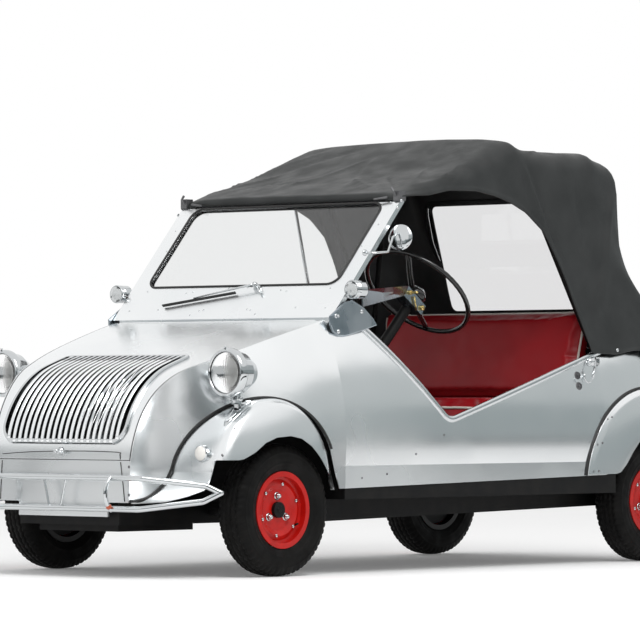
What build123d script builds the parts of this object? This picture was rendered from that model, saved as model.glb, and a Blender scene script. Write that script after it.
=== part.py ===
"""Open two-seat microcar with a folding soft top, a lifting bonnet and steered front wheels.

Millimetres.  +Z is up, the nose points to -Y and the driver's side is +X.
The origin is on the ground at the middle of the car.
"""
from build123d import *
from math import atan2, cos, hypot, pi, radians, sin
import os

# Sheet and fits
SHEET = 3.0
SEAM = 2.0
LID_SEAM = 4.0
GAP = 0.3

# Half-widths of cutters that must pass right through the body, the second for cutters inside cutters
WIDE = 700.0
WIDER = 720.0

# Wheels and axles
TYRE_R = 200.0
TYRE_W = 105.0
RIM_R = 116.0
RIM_W = 84.0
BARREL_R = 104.0
RIM_SHEET = 4.0
DISC_IN = 12.0
HUB_HOLE_R = 24.0
WHEEL_X = 462.0
FRONT_AXLE_Y = -788.0
REAR_AXLE_Y = 988.0
AXLE_Z = TYRE_R
STUB_R = 14.0
DRUM_R = 94.0
DRUM_L = 34.0
KINGPIN_X = 412.0
KINGPIN_R = 9.0
KINGPIN_EYE_R = 16.0
KINGPIN_EYE_H = 64.0
FORK_T = 12.0
STEER_ARM_IN = 30.0
STEER_ARM_L = 110.0
BEAM_R = 22.0
NUT_CIRCLE_R = 42.0
NUT_R = 9.0

# Body side view
NOSE_Y = -1220.0
NOSE_R = 289.0
NOSE_Z = 357.0
NOSE_TURN = 71.0
VALANCE_Z = 225.0
BONNET_LOW_Z = 352.0
SKIRT = dict(half=190.0, t=6.0, low=182.0, high=255.0)
BONNET_BACK_Y = -550.0
BONNET_BACK_Z = 772.0
COWL_Y = -400.0
COWL_Z = 766.0
DASH_LOW_Z = 600.0
HINGE_R = 3.0
HINGE_Y = BONNET_BACK_Y - SEAM - HINGE_R
HINGE_HALF = 420.0
DOOR_TOP = (-395.0, 757.0)
DOOR_LOW = (-71.0, 462.0)
DOOR_BACK = (760.0, 694.0)
DECK_Y = 760.0
DECK_Z = 700.0
TAIL_Y = 1252.0
TAIL_R = 330.0
TAIL_LOW_Z = 290.0
SILL_FRONT = (-572.0, 261.0)
SILL_BACK = (672.0, 286.0)

# Half-widths of the body along its length: station, low, middle, top, bulge of the side
LOW_Z, MID_Z, HIGH_Z = 150.0, 330.0, 800.0
NOSE_STATIONS = [
    dict(y=-1240.0, low=284.0, mid=294.0, high=374.0, bulge=1.0),
    dict(y=-1040.0, low=344.0, mid=352.0, high=354.0, bulge=3.0),
    dict(y=-860.0, low=488.0, mid=488.0, high=354.0, bulge=30.0),
    dict(y=-710.0, low=526.0, mid=526.0, high=394.0, bulge=34.0),
    dict(y=BONNET_BACK_Y, low=540.0, mid=540.0, high=435.0, bulge=38.0),
]
TAIL_START_Y = 700.0
TAIL_STATIONS = [
    dict(y=TAIL_START_Y, low=540.0, mid=540.0, high=435.0, bulge=38.0),
    dict(y=1000.0, low=532.0, mid=532.0, high=425.0, bulge=38.0),
    dict(y=1290.0, low=455.0, mid=455.0, high=355.0, bulge=36.0),
]

# Front wings
WING_X = 558.0
WING_C = (-835.0, 290.0)
WING_R = 244.0
WING_ROUND = 24.0
WING_FRONT_ANGLE = 174.0
WING_REAR_ANGLE = 21.0
WING_FLARE = (-1135.0, 243.0)
WING_TOE = (-1218.0, 226.0)
WING_HEEL = (-572.0, 262.0)
WING_IN_X = 290.0
WING_LOW_Z = 222.0
FRONT_LIP = [(-571.0, 256.0), (-620.0, 311.0), (-664.0, 353.0), (-713.0, 391.0), (-761.0, 414.0),
             (-810.0, 422.0), (-871.0, 418.0), (-919.0, 402.0), (-960.0, 375.0), (-1002.0, 355.0),
             (-1050.0, 347.0), (-1112.0, 356.0)]
APRON_EDGE = [(290.0, 222.0), (380.0, 228.0), (440.0, 246.0), (481.0, 262.0),
              (503.0, 284.0), (518.0, 314.0), (530.0, 352.0)]

# Rear wings
REAR_WING_X = 574.0
REAR_WING_C = (925.0, 240.0)
REAR_WING_R = 326.0
REAR_LIP = [(652.0, 284.0), (700.0, 286.0), (738.0, 295.0), (768.0, 320.0), (802.0, 360.0),
            (845.0, 402.0), (920.0, 442.0), (1000.0, 448.0), (1080.0, 425.0), (1150.0, 370.0),
            (1200.0, 300.0), (1215.0, 230.0)]

# Chassis
RAIL_X = 350.0
RAIL_W = 56.0
RAIL_TOP_Z = 228.0
RAIL_FRONT_Z = 156.0
RAIL_BACK_Z = 189.0
RAIL_FRONT_Y = -538.0
RAIL_BACK_Y = 1190.0
NOSE_RAIL_X = 190.0
NOSE_RAIL_W = 44.0
NOSE_RAIL_FRONT_Y = -1190.0
CROSS_Y = [-510.0, 180.0, 740.0, 1160.0]
CROSS_W = 50.0
CROSS_Z = 194.0
FLOOR_T = 3.0
FLOOR_FRONT_Y = -548.0
FLOOR_X = 534.0
BULKHEAD_Z = 700.0

# Engine mass
ENGINE = dict(y=320.0, at_y=-990.0, low=136.0, high=518.0)

# Windscreen, measured along its own slope
SCREEN_FOOT = (-537.0, 781.0)
SCREEN_HEAD = (-213.0, 1153.0)
SCREEN_HALF = 470.0
SCREEN_T = 16.0
GLASS_LOW = 138.0
GLASS_HIGH = 478.0
GLASS_HALF = 408.0
GLASS_T = 5.0
GLASS_ROUND = 40.0
REBATE = 8.0

# Soft top
CLOTH = 8.0
HOOD_FRONT_Y = -222.0
HOOD_STATIONS = [
    dict(y=HOOD_FRONT_Y, foot=488.0, top=480.0, z=1168.0, corner=26.0, crown=4.0),
    dict(y=60.0, foot=492.0, top=474.0, z=1252.0, corner=52.0, crown=10.0),
    dict(y=322.0, foot=502.0, top=456.0, z=1358.0, corner=62.0, crown=13.0),
    dict(y=368.0, foot=504.0, top=456.0, z=1354.0, corner=62.0, crown=13.0),
    dict(y=420.0, foot=506.0, top=458.0, z=1332.0, corner=62.0, crown=10.0),
    dict(y=560.0, foot=512.0, top=462.0, z=1324.0, corner=62.0, crown=8.0),
    dict(y=730.0, foot=517.0, top=462.0, z=1331.0, corner=62.0, crown=8.0),
    dict(y=800.0, foot=519.0, top=460.0, z=1314.0, corner=62.0, crown=8.0),
    dict(y=1110.0, foot=522.0, top=436.0, z=1290.0, corner=62.0, crown=8.0),
]
HOOD_SIDE_Z = 640.0
HOOD_HEM = [(660.0, 655.0), (700.0, 660.0), (880.0, 689.0), (960.0, 689.0), (1080.0, 650.0)]
HOOD_CLEAR = 1.0
HOOD_BACK = [(800.0, 1325.0), (846.0, 1295.0), (874.0, 1250.0), (880.0, 1150.0), (905.0, 1062.0),
             (955.0, 975.0), (1062.0, 650.0)]
HOOD_MOUTH = [(-260.0, 1160.0), (-89.0, 1166.0), (6.0, 1184.0), (150.0, 1186.0), (247.0, 1172.0),
              (318.0, 1154.0), (389.0, 1125.0), (466.0, 1068.0), (523.0, 984.0), (566.0, 904.0),
              (598.0, 831.0), (640.0, 744.0), (684.0, 650.0)]
WINDOW = dict(half=372.0, low=826.0, high=1186.0, t=2.0)
BOW_R = 9.0
BOW_STATIONS = [HOOD_STATIONS[3], HOOD_STATIONS[6]]
BOW_PIVOT = (700.0, 720.0)
BOW_FOOT_X = 470.0
BOW_CLEAR = 16.0
BOW_BEND = 60.0

# Seat
SEAT_HALF = 450.0
BACKREST = dict(high=836.0, foot=DECK_Y - 105.0, head=DECK_Y - 25.0, t=70.0)
CUSHION = dict(front=215.0, back=BACKREST["foot"] + 45.0, high=520.0)
SEAT_BASE_Z = 372.0
SEAT_BASE_T = 4.0

# Steering
WHEEL_AT = (250.0, 110.0, 873.0)
WHEEL_TILT = 46.0
STEER_R = 181.0
STEER_GRIP = 9.0
COLUMN_R = 17.0

# Bumpers
TUBE_R = 9.0
BUMPER_Y = -1250.0
BUMPER_TIP = (535.0, -1090.0, 256.0)
BUMPER_BARS = [dict(z=299.0, end=(504.0, -1121.0, 277.0)), dict(z=207.0, end=(497.0, -1127.0, 230.0))]
BUMPER_STRAIGHT = 352.0
HOOP_X = 240.0
HOOP_R = 6.5
HOOP_OUT = 26.0
HOOP_PAST = 5.0
MARK_TOP_X = 48.0
MARK_LOW_X = 24.0
MARK_R = 4.0
BRACKET_X = 165.0
BRACKET_W = 30.0
BRACKET_T = 8.0
SLOT_CLEAR = 1.0
REAR_BUMPER_Y = 1273.5
REAR_BUMPER_Z = 300.0
REAR_BUMPER_HALF = 430.0
REAR_BRACKET = dict(inner=200.0, outer=230.0, t=6.0)

# Lamps
LAMP = dict(x=480.0, y=-1006.0, z=611.0, r=72.0, depth=112.0)
LAMP_FOOT_T = 6.0
SIDE_LAMP = dict(x=440.0, z=372.0, r=25.0, depth=20.0)
TURN_LAMP = dict(x=506.0, y=-452.0, z=866.0, r=28.0, depth=32.0)
TAIL_LAMP = dict(x=400.0, z=470.0, r=32.0, depth=24.0)

# Grille
GRILLE_BARS = 20
GRILLE_BAR_W = 12.0
GRILLE_HALF = 256.0
GRILLE_OUT = 7.0
GRILLE_RIM = 9.0
GRILLE_TOP = (-950.0, 668.0)
GRILLE_LOW_Z = 412.0
GRILLE_TILT = 45.0
GRILLE_LOW_ROUND = 42.0
GRILLE_TOP_ROUND = 12.0

MIRROR = dict(x=505.0, y=-240.0, z=1030.0, r=46.0, t=14.0, arm_z=980.0, arm_r=4.0)


def yz_face(points):
    """Face in the side view from a closed run of (y, z) corners."""
    return make_face(Polyline(*[(0, y, z) for y, z in points], close=True))


def across(face, half):
    """Solid that runs from -half to +half across the car."""
    return extrude(face, amount=half, dir=(1, 0, 0), both=True)


def side_prism(points, x0, x1):
    """Side-view outline made solid between two places across the car."""
    return Pos(x0, 0, 0) * extrude(yz_face(points), amount=x1 - x0, dir=(1, 0, 0))


def block(x0, x1, y0, y1, z0, z1):
    """Box by its corners."""
    size = (abs(x1 - x0), abs(y1 - y0), abs(z1 - z0))
    return Pos((x0 + x1) / 2, (y0 + y1) / 2, (z0 + z1) / 2) * Box(*size)


def rod(a, b, r):
    """Round bar from one point to another."""
    a, b = Vector(*a), Vector(*b)
    return extrude(Plane(origin=a, z_dir=b - a) * Circle(r), amount=(b - a).length)


def tube(points, r, bends):
    """Round bar bent along straight runs."""
    path = FilletPolyline(*points, radius=bends)
    start = Vector(*points[0])
    heading = Vector(*points[1]) - start
    return sweep(Plane(origin=start, z_dir=heading) * Circle(r), path=path)


def mirrored(part):
    """The same piece on the other side of the car."""
    return mirror(part, about=Plane.YZ)


def spin_about_x(points, x, y, z):
    """Solid turned from (x, radius) corners about a line across the car."""
    face = make_face(Polyline(*[(px, 0, pr) for px, pr in points], close=True))
    return Pos(x, y, z) * revolve(face, axis=Axis.X)


def spin_about_y(points, x, y, z):
    """Solid turned from (y, radius) corners about a line along the car."""
    face = make_face(Polyline(*[(0, py, pr) for py, pr in points], close=True))
    return Pos(x, y, z) * revolve(face, axis=Axis.Y)


def section(st, inset):
    """Cross-section of the body at one station."""
    low, mid, high = (st[k] - inset for k in ("low", "mid", "high"))
    z0, z1 = LOW_Z - inset, HIGH_Z + inset
    tall = z1 - MID_Z
    lean = mid - high
    long = hypot(tall, lean)
    bulge = (mid + high) / 2 + st["bulge"] * tall / long
    middle = (MID_Z + z1) / 2 + st["bulge"] * lean / long
    y = st["y"]
    edges = [Line((-low, y, z0), (low, y, z0)), Line((low, y, z0), (mid, y, MID_Z)),
             ThreePointArc((mid, y, MID_Z), (bulge, y, middle), (high, y, z1)),
             Line((high, y, z1), (-high, y, z1)),
             ThreePointArc((-high, y, z1), (-bulge, y, middle), (-mid, y, MID_Z)),
             Line((-mid, y, MID_Z), (-low, y, z0))]
    return make_face(edges)


def hull(inset=0.0):
    """Plain outer form of the body, before the side view trims it."""
    nose = loft([section(st, inset) for st in NOSE_STATIONS])
    middle = extrude(section(NOSE_STATIONS[-1], inset), amount=TAIL_START_Y - BONNET_BACK_Y, dir=(0, 1, 0))
    tail = loft([section(st, inset) for st in TAIL_STATIONS])
    return nose + middle + tail


def nose_point(angle, inset=0.0):
    """Point on the nose arc, by its angle above the ground line."""
    r = NOSE_R - inset
    return (NOSE_Y + NOSE_R - r * cos(radians(angle)), NOSE_Z + r * sin(radians(angle)))


def profile(inset=0.0, x=0.0):
    """Side view of the body, nose to tail."""
    def at(p):
        return (x, p[0], p[1])

    low = LOW_Z - 20
    nose_end = nose_point(NOSE_TURN, inset)
    back = (BONNET_BACK_Y, BONNET_BACK_Z - inset)
    slope = atan2(back[1] - nose_end[1], back[0] - nose_end[0])
    run = hypot(back[1] - nose_end[1], back[0] - nose_end[0])
    rise = run / 2 * sin(radians(90 - NOSE_TURN) - slope) / 2
    middle = ((nose_end[0] + back[0]) / 2, (nose_end[1] + back[1]) / 2)
    crown = (middle[0] - rise * sin(slope), middle[1] + rise * cos(slope))
    cowl = (COWL_Y, COWL_Z - inset)
    deck = (DECK_Y, DECK_Z - inset)
    tail = TAIL_Y - inset
    tail_r = TAIL_R - inset
    brow = (TAIL_Y - TAIL_R, DECK_Z - inset)
    mid_tail = (TAIL_Y - TAIL_R + tail_r * sin(pi / 4), DECK_Z - TAIL_R + tail_r * cos(pi / 4))
    end_tail = (tail, DECK_Z - TAIL_R)
    edges = [Line(at((NOSE_Y + inset, low)), at(nose_point(0, inset))),
             ThreePointArc(at(nose_point(0, inset)), at(nose_point(NOSE_TURN / 2, inset)), at(nose_end)),
             ThreePointArc(at(nose_end), at(crown), at(back)),
             Line(at(back), at(cowl)), Line(at(cowl), at(deck)), Line(at(deck), at(brow)),
             ThreePointArc(at(brow), at(mid_tail), at(end_tail)),
             Line(at(end_tail), at((tail, low))), Line(at((tail, low)), at((NOSE_Y + inset, low)))]
    return make_face(edges)


def wing_point(angle, inset=0.0):
    """Point on the round of the front wing, by its angle above the rear."""
    r = WING_R - inset
    return (WING_C[0] + r * cos(radians(angle)), WING_C[1] + r * sin(radians(angle)))


def wing_outline(inset=0.0):
    """Side view of the front wing down to the ground line."""
    low = LOW_Z - 60
    front = wing_point(WING_FRONT_ANGLE, inset)
    rear = wing_point(WING_REAR_ANGLE, inset)
    flare = (WING_FLARE[0] + inset * 0.7, WING_FLARE[1] - inset * 0.7)
    toe = (WING_TOE[0], WING_TOE[1] - inset)
    heel = (WING_HEEL[0] - inset, WING_HEEL[1])
    edges = [Line((0, toe[0], low), (0, *toe)), ThreePointArc((0, *toe), (0, *flare), (0, *front)),
             ThreePointArc((0, *front), (0, *wing_point(90, inset)), (0, *rear)),
             Line((0, *rear), (0, *heel)),
             Line((0, *heel), (0, heel[0], low)), Line((0, heel[0], low), (0, toe[0], low))]
    return make_face(edges)


def cockpit_cut():
    """Notch that opens the sides and the top of the cabin."""
    high = 1000.0
    pts = [(DOOR_TOP[0], high), DOOR_TOP, DOOR_LOW, DOOR_BACK, (DOOR_BACK[0], high)]
    return across(yz_face(pts), WIDE)


def under_sill():
    """Everything below the lower edge of the body."""
    pts = [(-1300, 0), (-1300, VALANCE_Z), (WING_TOE[0], VALANCE_Z), (WING_TOE[0] + 60, 200), (-600, 200),
           SILL_FRONT, SILL_BACK, (1300, TAIL_LOW_Z), (1300, 0)]
    return across(yz_face(pts), WIDE)


OUTER = hull()
INNER = hull(SHEET)
SNUG = hull(SHEET + GAP)
LID = hull(SHEET + LID_SEAM)
FITTED = hull(SHEET + SEAM)
SIDE_VIEW = across(profile(), WIDE)
SIDE_VIEW_IN = across(profile(SHEET), WIDER)
SKIN = SIDE_VIEW - SIDE_VIEW_IN
FRONT_WELL = across(wing_outline(), WIDE)
BELOW = under_sill()


def body_side():
    """Left side sheet from the cheek beside the bonnet to the tail."""
    wall = (OUTER - INNER) & SIDE_VIEW & block(0, WIDE, NOSE_Y, TAIL_Y - SHEET, 0, 900)
    wall -= FRONT_WELL + BELOW + cockpit_cut() + across(yz_face(REAR_LIP + [(1215, 100), (652, 100)]), WIDE)
    return wall


def grille_shape(grow=0.0):
    """Outline of the grille seen square to the nose, made deep enough to cut with."""
    half = GRILLE_HALF + grow
    tilt = radians(GRILLE_TILT)
    high = GRILLE_TOP[0] * sin(tilt) + GRILLE_TOP[1] * cos(tilt) + grow
    low = NOSE_Y * sin(tilt) + GRILLE_LOW_Z * cos(tilt) - grow
    plane = Plane(origin=(0, 0, 0), x_dir=(1, 0, 0), z_dir=(0, -cos(tilt), sin(tilt)))
    face = make_face(Polyline((-half, low), (half, low), (half, high), (-half, high), close=True))
    face = fillet(face.vertices().group_by(Axis.Y)[0], GRILLE_LOW_ROUND + grow)
    face = fillet(face.vertices().group_by(Axis.Y)[-1], GRILLE_TOP_ROUND + grow)
    return extrude(plane * face, amount=1500)


def bonnet():
    """Lifting lid: one sheet, flat across, rolled down over the nose."""
    sheet = SKIN & LID & block(-WIDE, WIDE, NOSE_Y - 10, HINGE_Y, BONNET_LOW_Z, 900)
    sheet -= grille_shape()
    hinge_z = BONNET_BACK_Z - SHEET / 2
    hinge = rod((-HINGE_HALF, HINGE_Y, hinge_z), (HINGE_HALF, HINGE_Y, hinge_z), HINGE_R)
    handle = block(-22, 22, NOSE_Y - 16, NOSE_Y + 2, 368, 380)
    return sheet + hinge + handle


def grille():
    """Bars that follow the nose, inside a bright rim."""
    outer = across(profile(-GRILLE_OUT), WIDE) - across(profile(-1.0), WIDER)
    band = outer & grille_shape(GRILLE_RIM) & block(-400, 400, -1300, -900, 300, 800)
    hole = grille_shape()
    root = (across(profile(-1.0), WIDE) - across(profile(SHEET), WIDER)) & grille_shape(-GAP)
    pitch = 2 * GRILLE_HALF / (GRILLE_BARS + 1)
    centres = [pitch * (i + 1) - GRILLE_HALF for i in range(GRILLE_BARS)]
    half = GRILLE_BAR_W / 2
    comb = Compound([block(x - half, x + half, -1300, -900, 300, 800) for x in centres])
    return (band - hole) + (band & hole & comb) + (root & comb)


def nose_valance():
    """Flat sheet below the bonnet, with the skirt under it."""
    sheet = SKIN & SNUG & block(-WIDE, WIDE, NOSE_Y - 10, NOSE_Y + SHEET, VALANCE_Z, BONNET_LOW_Z - SEAM)
    s = SKIRT
    skirt = block(-s["half"], s["half"], NOSE_Y + SHEET, NOSE_Y + SHEET + s["t"], s["low"], s["high"])
    slot = BRACKET_W / 2 + SLOT_CLEAR
    low_bar = BUMPER_BARS[1]["z"]
    for side in (1, -1):
        x = side * BRACKET_X
        z0, z1 = low_bar - BRACKET_T / 2 - SLOT_CLEAR, low_bar + BRACKET_T / 2 + SLOT_CLEAR
        skirt -= block(x - slot, x + slot, NOSE_Y, NOSE_Y + 20, z0, z1)
    return sheet + skirt


def scuttle():
    """Top sheet under the windscreen, with the dash below it."""
    top = SKIN & SNUG & block(-WIDE, WIDE, BONNET_BACK_Y, COWL_Y, 600, 900)
    dash = SNUG & SIDE_VIEW & block(-WIDE, WIDE, COWL_Y - SHEET, COWL_Y, DASH_LOW_Z, 900)
    return top + dash


def tail_panel():
    """Rear deck and the rounded back, in one sheet."""
    return SKIN & SNUG & block(-WIDE, WIDE, DECK_Y, TAIL_Y, TAIL_LOW_Z, 900)


def rounded_disc(x0, x1, r, corner, centre):
    """Disc across the car with its outer rim rounded."""
    bow = corner * (1 - cos(pi / 4))
    edges = [Line((x0, 0, 0), (x0, 0, r)), Line((x0, 0, r), (x1 - corner, 0, r)),
             ThreePointArc((x1 - corner, 0, r), (x1 - bow, 0, r - bow), (x1, 0, r - corner)),
             Line((x1, 0, r - corner), (x1, 0, 0)), Line((x1, 0, 0), (x0, 0, 0))]
    return Pos(0, *centre) * revolve(make_face(edges), axis=Axis.X)


def wing_form(inset):
    """Plain form of the front wing: a round dome with a flared toe and a straight heel."""
    x0 = WING_IN_X - inset
    dome = rounded_disc(x0, WING_X - inset, WING_R - inset, WING_ROUND - inset, WING_C)
    front, rear = wing_point(WING_FRONT_ANGLE), wing_point(WING_REAR_ANGLE)
    skirt = extrude(wing_outline(inset), amount=WING_X - WING_ROUND / 3 - inset - x0, dir=(1, 0, 0))
    skirt = Pos(x0, 0, 0) * skirt
    skirt &= block(0, WIDE, -1300, 0, 0, front[1]) + block(0, WIDE, rear[0] - inset, 0, 0, rear[1])
    return dome + skirt


def front_wing():
    """Left front wing: a domed guard over the wheel with an apron in front."""
    guard = wing_form(0.0) - wing_form(SHEET)
    guard -= hull(-GAP)
    guard -= block(0, WIDE, -1300, 0, 0, WING_LOW_Z)
    guard -= side_prism(FRONT_LIP + [(-1110, 0), (-575, 0)], WING_X - WING_ROUND - 8, WING_X + 10)
    corners = APRON_EDGE + [(560, 352), (560, 0), (290, 0)]
    edge = make_face(Polyline(*[(x, 0, z) for x, z in corners], close=True))
    guard -= Pos(0, -1300, 0) * extrude(edge, amount=500, dir=(0, 1, 0))
    return guard


def rear_wing():
    """Left rear wing: a shallow guard that stands out from the side sheet."""
    x0, x1 = 541.0, REAR_WING_X
    guard = rounded_disc(x0, x1, REAR_WING_R, WING_ROUND, REAR_WING_C)
    guard -= rounded_disc(x0 - 1, x1 - SHEET, REAR_WING_R - SHEET, WING_ROUND - SHEET, REAR_WING_C)
    guard -= hull(-GAP)
    guard -= block(500, 700, 500, 1300, -200, TAIL_LOW_Z)
    guard -= side_prism(REAR_LIP + [(1215, 100), (652, 100)], 500, 700)
    return guard


def tyre(x, y):
    """Cross-ply tyre with round shoulders and moulded ribs."""
    h = TYRE_W / 2
    bead = RIM_R + 1
    seat = RIM_W / 2 - RIM_SHEET
    pts = [(-seat, BARREL_R), (seat, BARREL_R), (seat, bead), (h - 6, bead + 16), (h, 148),
           (h - 1, 168), (h - 7, 184), (h - 18, 195), (h - 30, 199), (0, TYRE_R), (30 - h, 199),
           (18 - h, 195), (7 - h, 184), (1 - h, 168), (-h, 148), (6 - h, bead + 16), (-seat, bead)]
    return spin_about_x(pts, x, y, AXLE_Z)


def rim(x, y, side):
    """Pressed wheel with a dished centre and three nuts; side is +1 on the left."""
    h = RIM_W / 2
    t = RIM_SHEET
    pts = [(-h, RIM_R), (-h + t, RIM_R), (-h + t, BARREL_R), (h - t, BARREL_R), (h - t, RIM_R), (h, RIM_R),
           (h, BARREL_R - t), (22, BARREL_R - t), (DISC_IN + 8, 92), (DISC_IN + 14, 78), (DISC_IN + 4, 62),
           (DISC_IN + 4, HUB_HOLE_R), (DISC_IN, HUB_HOLE_R), (DISC_IN, 64), (DISC_IN + 9, 78),
           (DISC_IN + 3, 90), (14, BARREL_R - t), (-h, BARREL_R - t)]
    wheel = spin_about_x([(side * px, pr) for px, pr in pts], x, y, AXLE_Z)
    for i in range(3):
        a = radians(90 + 120 * i)
        at = (x + side * (DISC_IN + 4), y + NUT_CIRCLE_R * cos(a), AXLE_Z + NUT_CIRCLE_R * sin(a))
        wheel += extrude(Plane(origin=at, z_dir=(side, 0, 0)) * RegularPolygon(NUT_R, 6), amount=9)
    return wheel


def hub(side):
    """Brake drum and stub axle that carry a wheel; local X points outwards."""
    drum_x = WHEEL_X + DISC_IN - GAP
    drum = rod((side * (drum_x - DRUM_L), 0, 0), (side * drum_x, 0, 0), DRUM_R)
    nose = rod((side * drum_x, 0, 0), (side * (drum_x + 16), 0, 0), HUB_HOLE_R - GAP)
    return drum + nose


def knuckle(side):
    """Fork on the kingpin with its drum and steering arm."""
    h = KINGPIN_EYE_H / 2
    part = Pos(0, FRONT_AXLE_Y, AXLE_Z) * hub(side)
    plate_x = WHEEL_X + DISC_IN - DRUM_L - GAP
    for up in (1, -1):
        z0 = AXLE_Z + up * (h + GAP)
        lug = block(-KINGPIN_EYE_R, plate_x - KINGPIN_X + 2, -KINGPIN_EYE_R, KINGPIN_EYE_R, 0, up * FORK_T)
        part += Pos(side * KINGPIN_X, FRONT_AXLE_Y, z0) * (lug if side > 0 else mirrored(lug))
    part += Pos(side * KINGPIN_X, FRONT_AXLE_Y, AXLE_Z) * Cylinder(KINGPIN_R, 2 * (h + GAP + FORK_T))
    z1 = AXLE_Z - h - GAP - FORK_T / 2
    arm_end = (side * (KINGPIN_X - STEER_ARM_IN), FRONT_AXLE_Y + STEER_ARM_L, z1)
    arm = rod((side * KINGPIN_X, FRONT_AXLE_Y, z1), arm_end, FORK_T / 2)
    return part + arm


def front_axle():
    """Cross tube with an eye at each end for the kingpins."""
    beam = rod((-KINGPIN_X, FRONT_AXLE_Y, AXLE_Z), (KINGPIN_X, FRONT_AXLE_Y, AXLE_Z), BEAM_R)
    for side in (1, -1):
        at = Pos(side * KINGPIN_X, FRONT_AXLE_Y, AXLE_Z)
        beam += at * Cylinder(KINGPIN_EYE_R + 6, KINGPIN_EYE_H)
        beam -= at * Cylinder(KINGPIN_R + GAP, KINGPIN_EYE_H + 2)
    return beam


def rear_axle():
    """Trailing arms, cross tube and the fixed drums of the rear wheels."""
    parts = rod((-400, REAR_AXLE_Y, AXLE_Z), (400, REAR_AXLE_Y, AXLE_Z), BEAM_R)
    for side in (1, -1):
        parts += Pos(0, REAR_AXLE_Y, AXLE_Z) * hub(side)
        stub_end = side * (WHEEL_X - 20)
        parts += rod((side * 390, REAR_AXLE_Y, AXLE_Z), (stub_end, REAR_AXLE_Y, AXLE_Z), BEAM_R)
    return parts


def chassis_frame():
    """Ladder of box rails that taper to the tail, narrowed at the nose to clear the steered wheels."""
    top = RAIL_TOP_Z
    low = [(RAIL_FRONT_Y, RAIL_FRONT_Z), (RAIL_BACK_Y, RAIL_BACK_Z)]
    side_view = low + [(RAIL_BACK_Y, top), (RAIL_FRONT_Y, top)]
    reach = RAIL_X + RAIL_W / 2
    frame = block(-reach, reach, RAIL_FRONT_Y, RAIL_FRONT_Y + CROSS_W, RAIL_FRONT_Z + 2, top)
    for x in (-RAIL_X, RAIL_X):
        frame += side_prism(side_view, x - RAIL_W / 2, x + RAIL_W / 2)
    for y in CROSS_Y:
        frame += block(-RAIL_X, RAIL_X, y - CROSS_W / 2, y + CROSS_W / 2, CROSS_Z, top)
    for x in (-NOSE_RAIL_X, NOSE_RAIL_X):
        x0, x1 = x - NOSE_RAIL_W / 2, x + NOSE_RAIL_W / 2
        frame += block(x0, x1, NOSE_RAIL_FRONT_Y, RAIL_FRONT_Y, RAIL_FRONT_Z, top)
    frame += block(-NOSE_RAIL_X, NOSE_RAIL_X, NOSE_RAIL_FRONT_Y, NOSE_RAIL_FRONT_Y + 40, RAIL_FRONT_Z, top)
    for y in (FRONT_AXLE_Y, REAR_AXLE_Y):
        frame -= rod((-500, y, AXLE_Z), (500, y, AXLE_Z), BEAM_R)
    return frame


def engine_block():
    """Plain mass of the engine, hung between the nose rails."""
    e = ENGINE
    half = NOSE_RAIL_X - NOSE_RAIL_W / 2
    return block(-half, half, e["at_y"] - e["y"] / 2, e["at_y"] + e["y"] / 2, e["low"], e["high"])


def floor_pan():
    """Floor between the sills, the front bulkhead and the seat box."""
    z0 = RAIL_TOP_Z
    floor = block(-FLOOR_X, FLOOR_X, FLOOR_FRONT_Y, DECK_Y, z0, z0 + FLOOR_T)
    for side in (1, -1):
        x = side * FLOOR_X
        floor += block(*sorted((x, x - side * FLOOR_T)), FLOOR_FRONT_Y, DECK_Y, z0, z0 + 60)
    wall = block(-WIDE, WIDE, FLOOR_FRONT_Y, FLOOR_FRONT_Y + FLOOR_T, z0, BULKHEAD_Z) & FITTED
    face_y, back_y = CUSHION["front"] + 20, CUSHION["back"] + 20
    box_face = block(-SEAT_HALF, SEAT_HALF, face_y, face_y + 3, z0, SEAT_BASE_Z)
    box_top = block(-SEAT_HALF, SEAT_HALF, face_y, back_y, SEAT_BASE_Z, SEAT_BASE_Z + SEAT_BASE_T)
    back = block(-480, 480, DECK_Y - FLOOR_T, DECK_Y, z0, DECK_Z - SHEET - GAP)
    return floor + wall + box_face + box_top + back


def screen_plane():
    """Plane of the windscreen, X across and Y up the slope."""
    up = Vector(0, SCREEN_HEAD[0] - SCREEN_FOOT[0], SCREEN_HEAD[1] - SCREEN_FOOT[1]).normalized()
    return Plane(origin=(0, *SCREEN_FOOT), x_dir=(1, 0, 0), z_dir=Vector(1, 0, 0).cross(up))


def screen_length():
    return hypot(SCREEN_HEAD[0] - SCREEN_FOOT[0], SCREEN_HEAD[1] - SCREEN_FOOT[1])


def glass_face(grow=0.0):
    """Outline of the windscreen glass on its plane."""
    low, high, half = GLASS_LOW - grow, GLASS_HIGH + grow, GLASS_HALF + grow
    shape = Rectangle(2 * half, high - low)
    shape = fillet(shape.vertices(), GLASS_ROUND)
    return screen_plane() * Pos(0, (low + high) / 2) * shape


def windscreen_frame():
    """Flat raked frame with its riveted lower panel."""
    length = screen_length()
    plate = screen_plane() * Pos(0, length / 2) * Rectangle(2 * SCREEN_HALF, length)
    frame = extrude(plate, amount=-SCREEN_T)
    frame -= extrude(glass_face(), amount=-SCREEN_T * 3, both=True)
    frame -= screen_plane().offset(-SCREEN_T / 2) * Pos(0, (GLASS_LOW + GLASS_HIGH) / 2) * Box(
        2 * (GLASS_HALF + REBATE), GLASS_HIGH - GLASS_LOW + 2 * REBATE, GLASS_T + 2 * GAP)
    frame -= SIDE_VIEW & block(-WIDE, WIDE, BONNET_BACK_Y - 200, COWL_Y, 600, 900)
    return frame


def windscreen_glass():
    """Flat pane held in the rebate of the frame."""
    return screen_plane().offset(-SCREEN_T / 2) * Pos(0, (GLASS_LOW + GLASS_HIGH) / 2) * Box(
        2 * (GLASS_HALF + REBATE - GAP), GLASS_HIGH - GLASS_LOW + 2 * (REBATE - GAP), GLASS_T)


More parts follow.
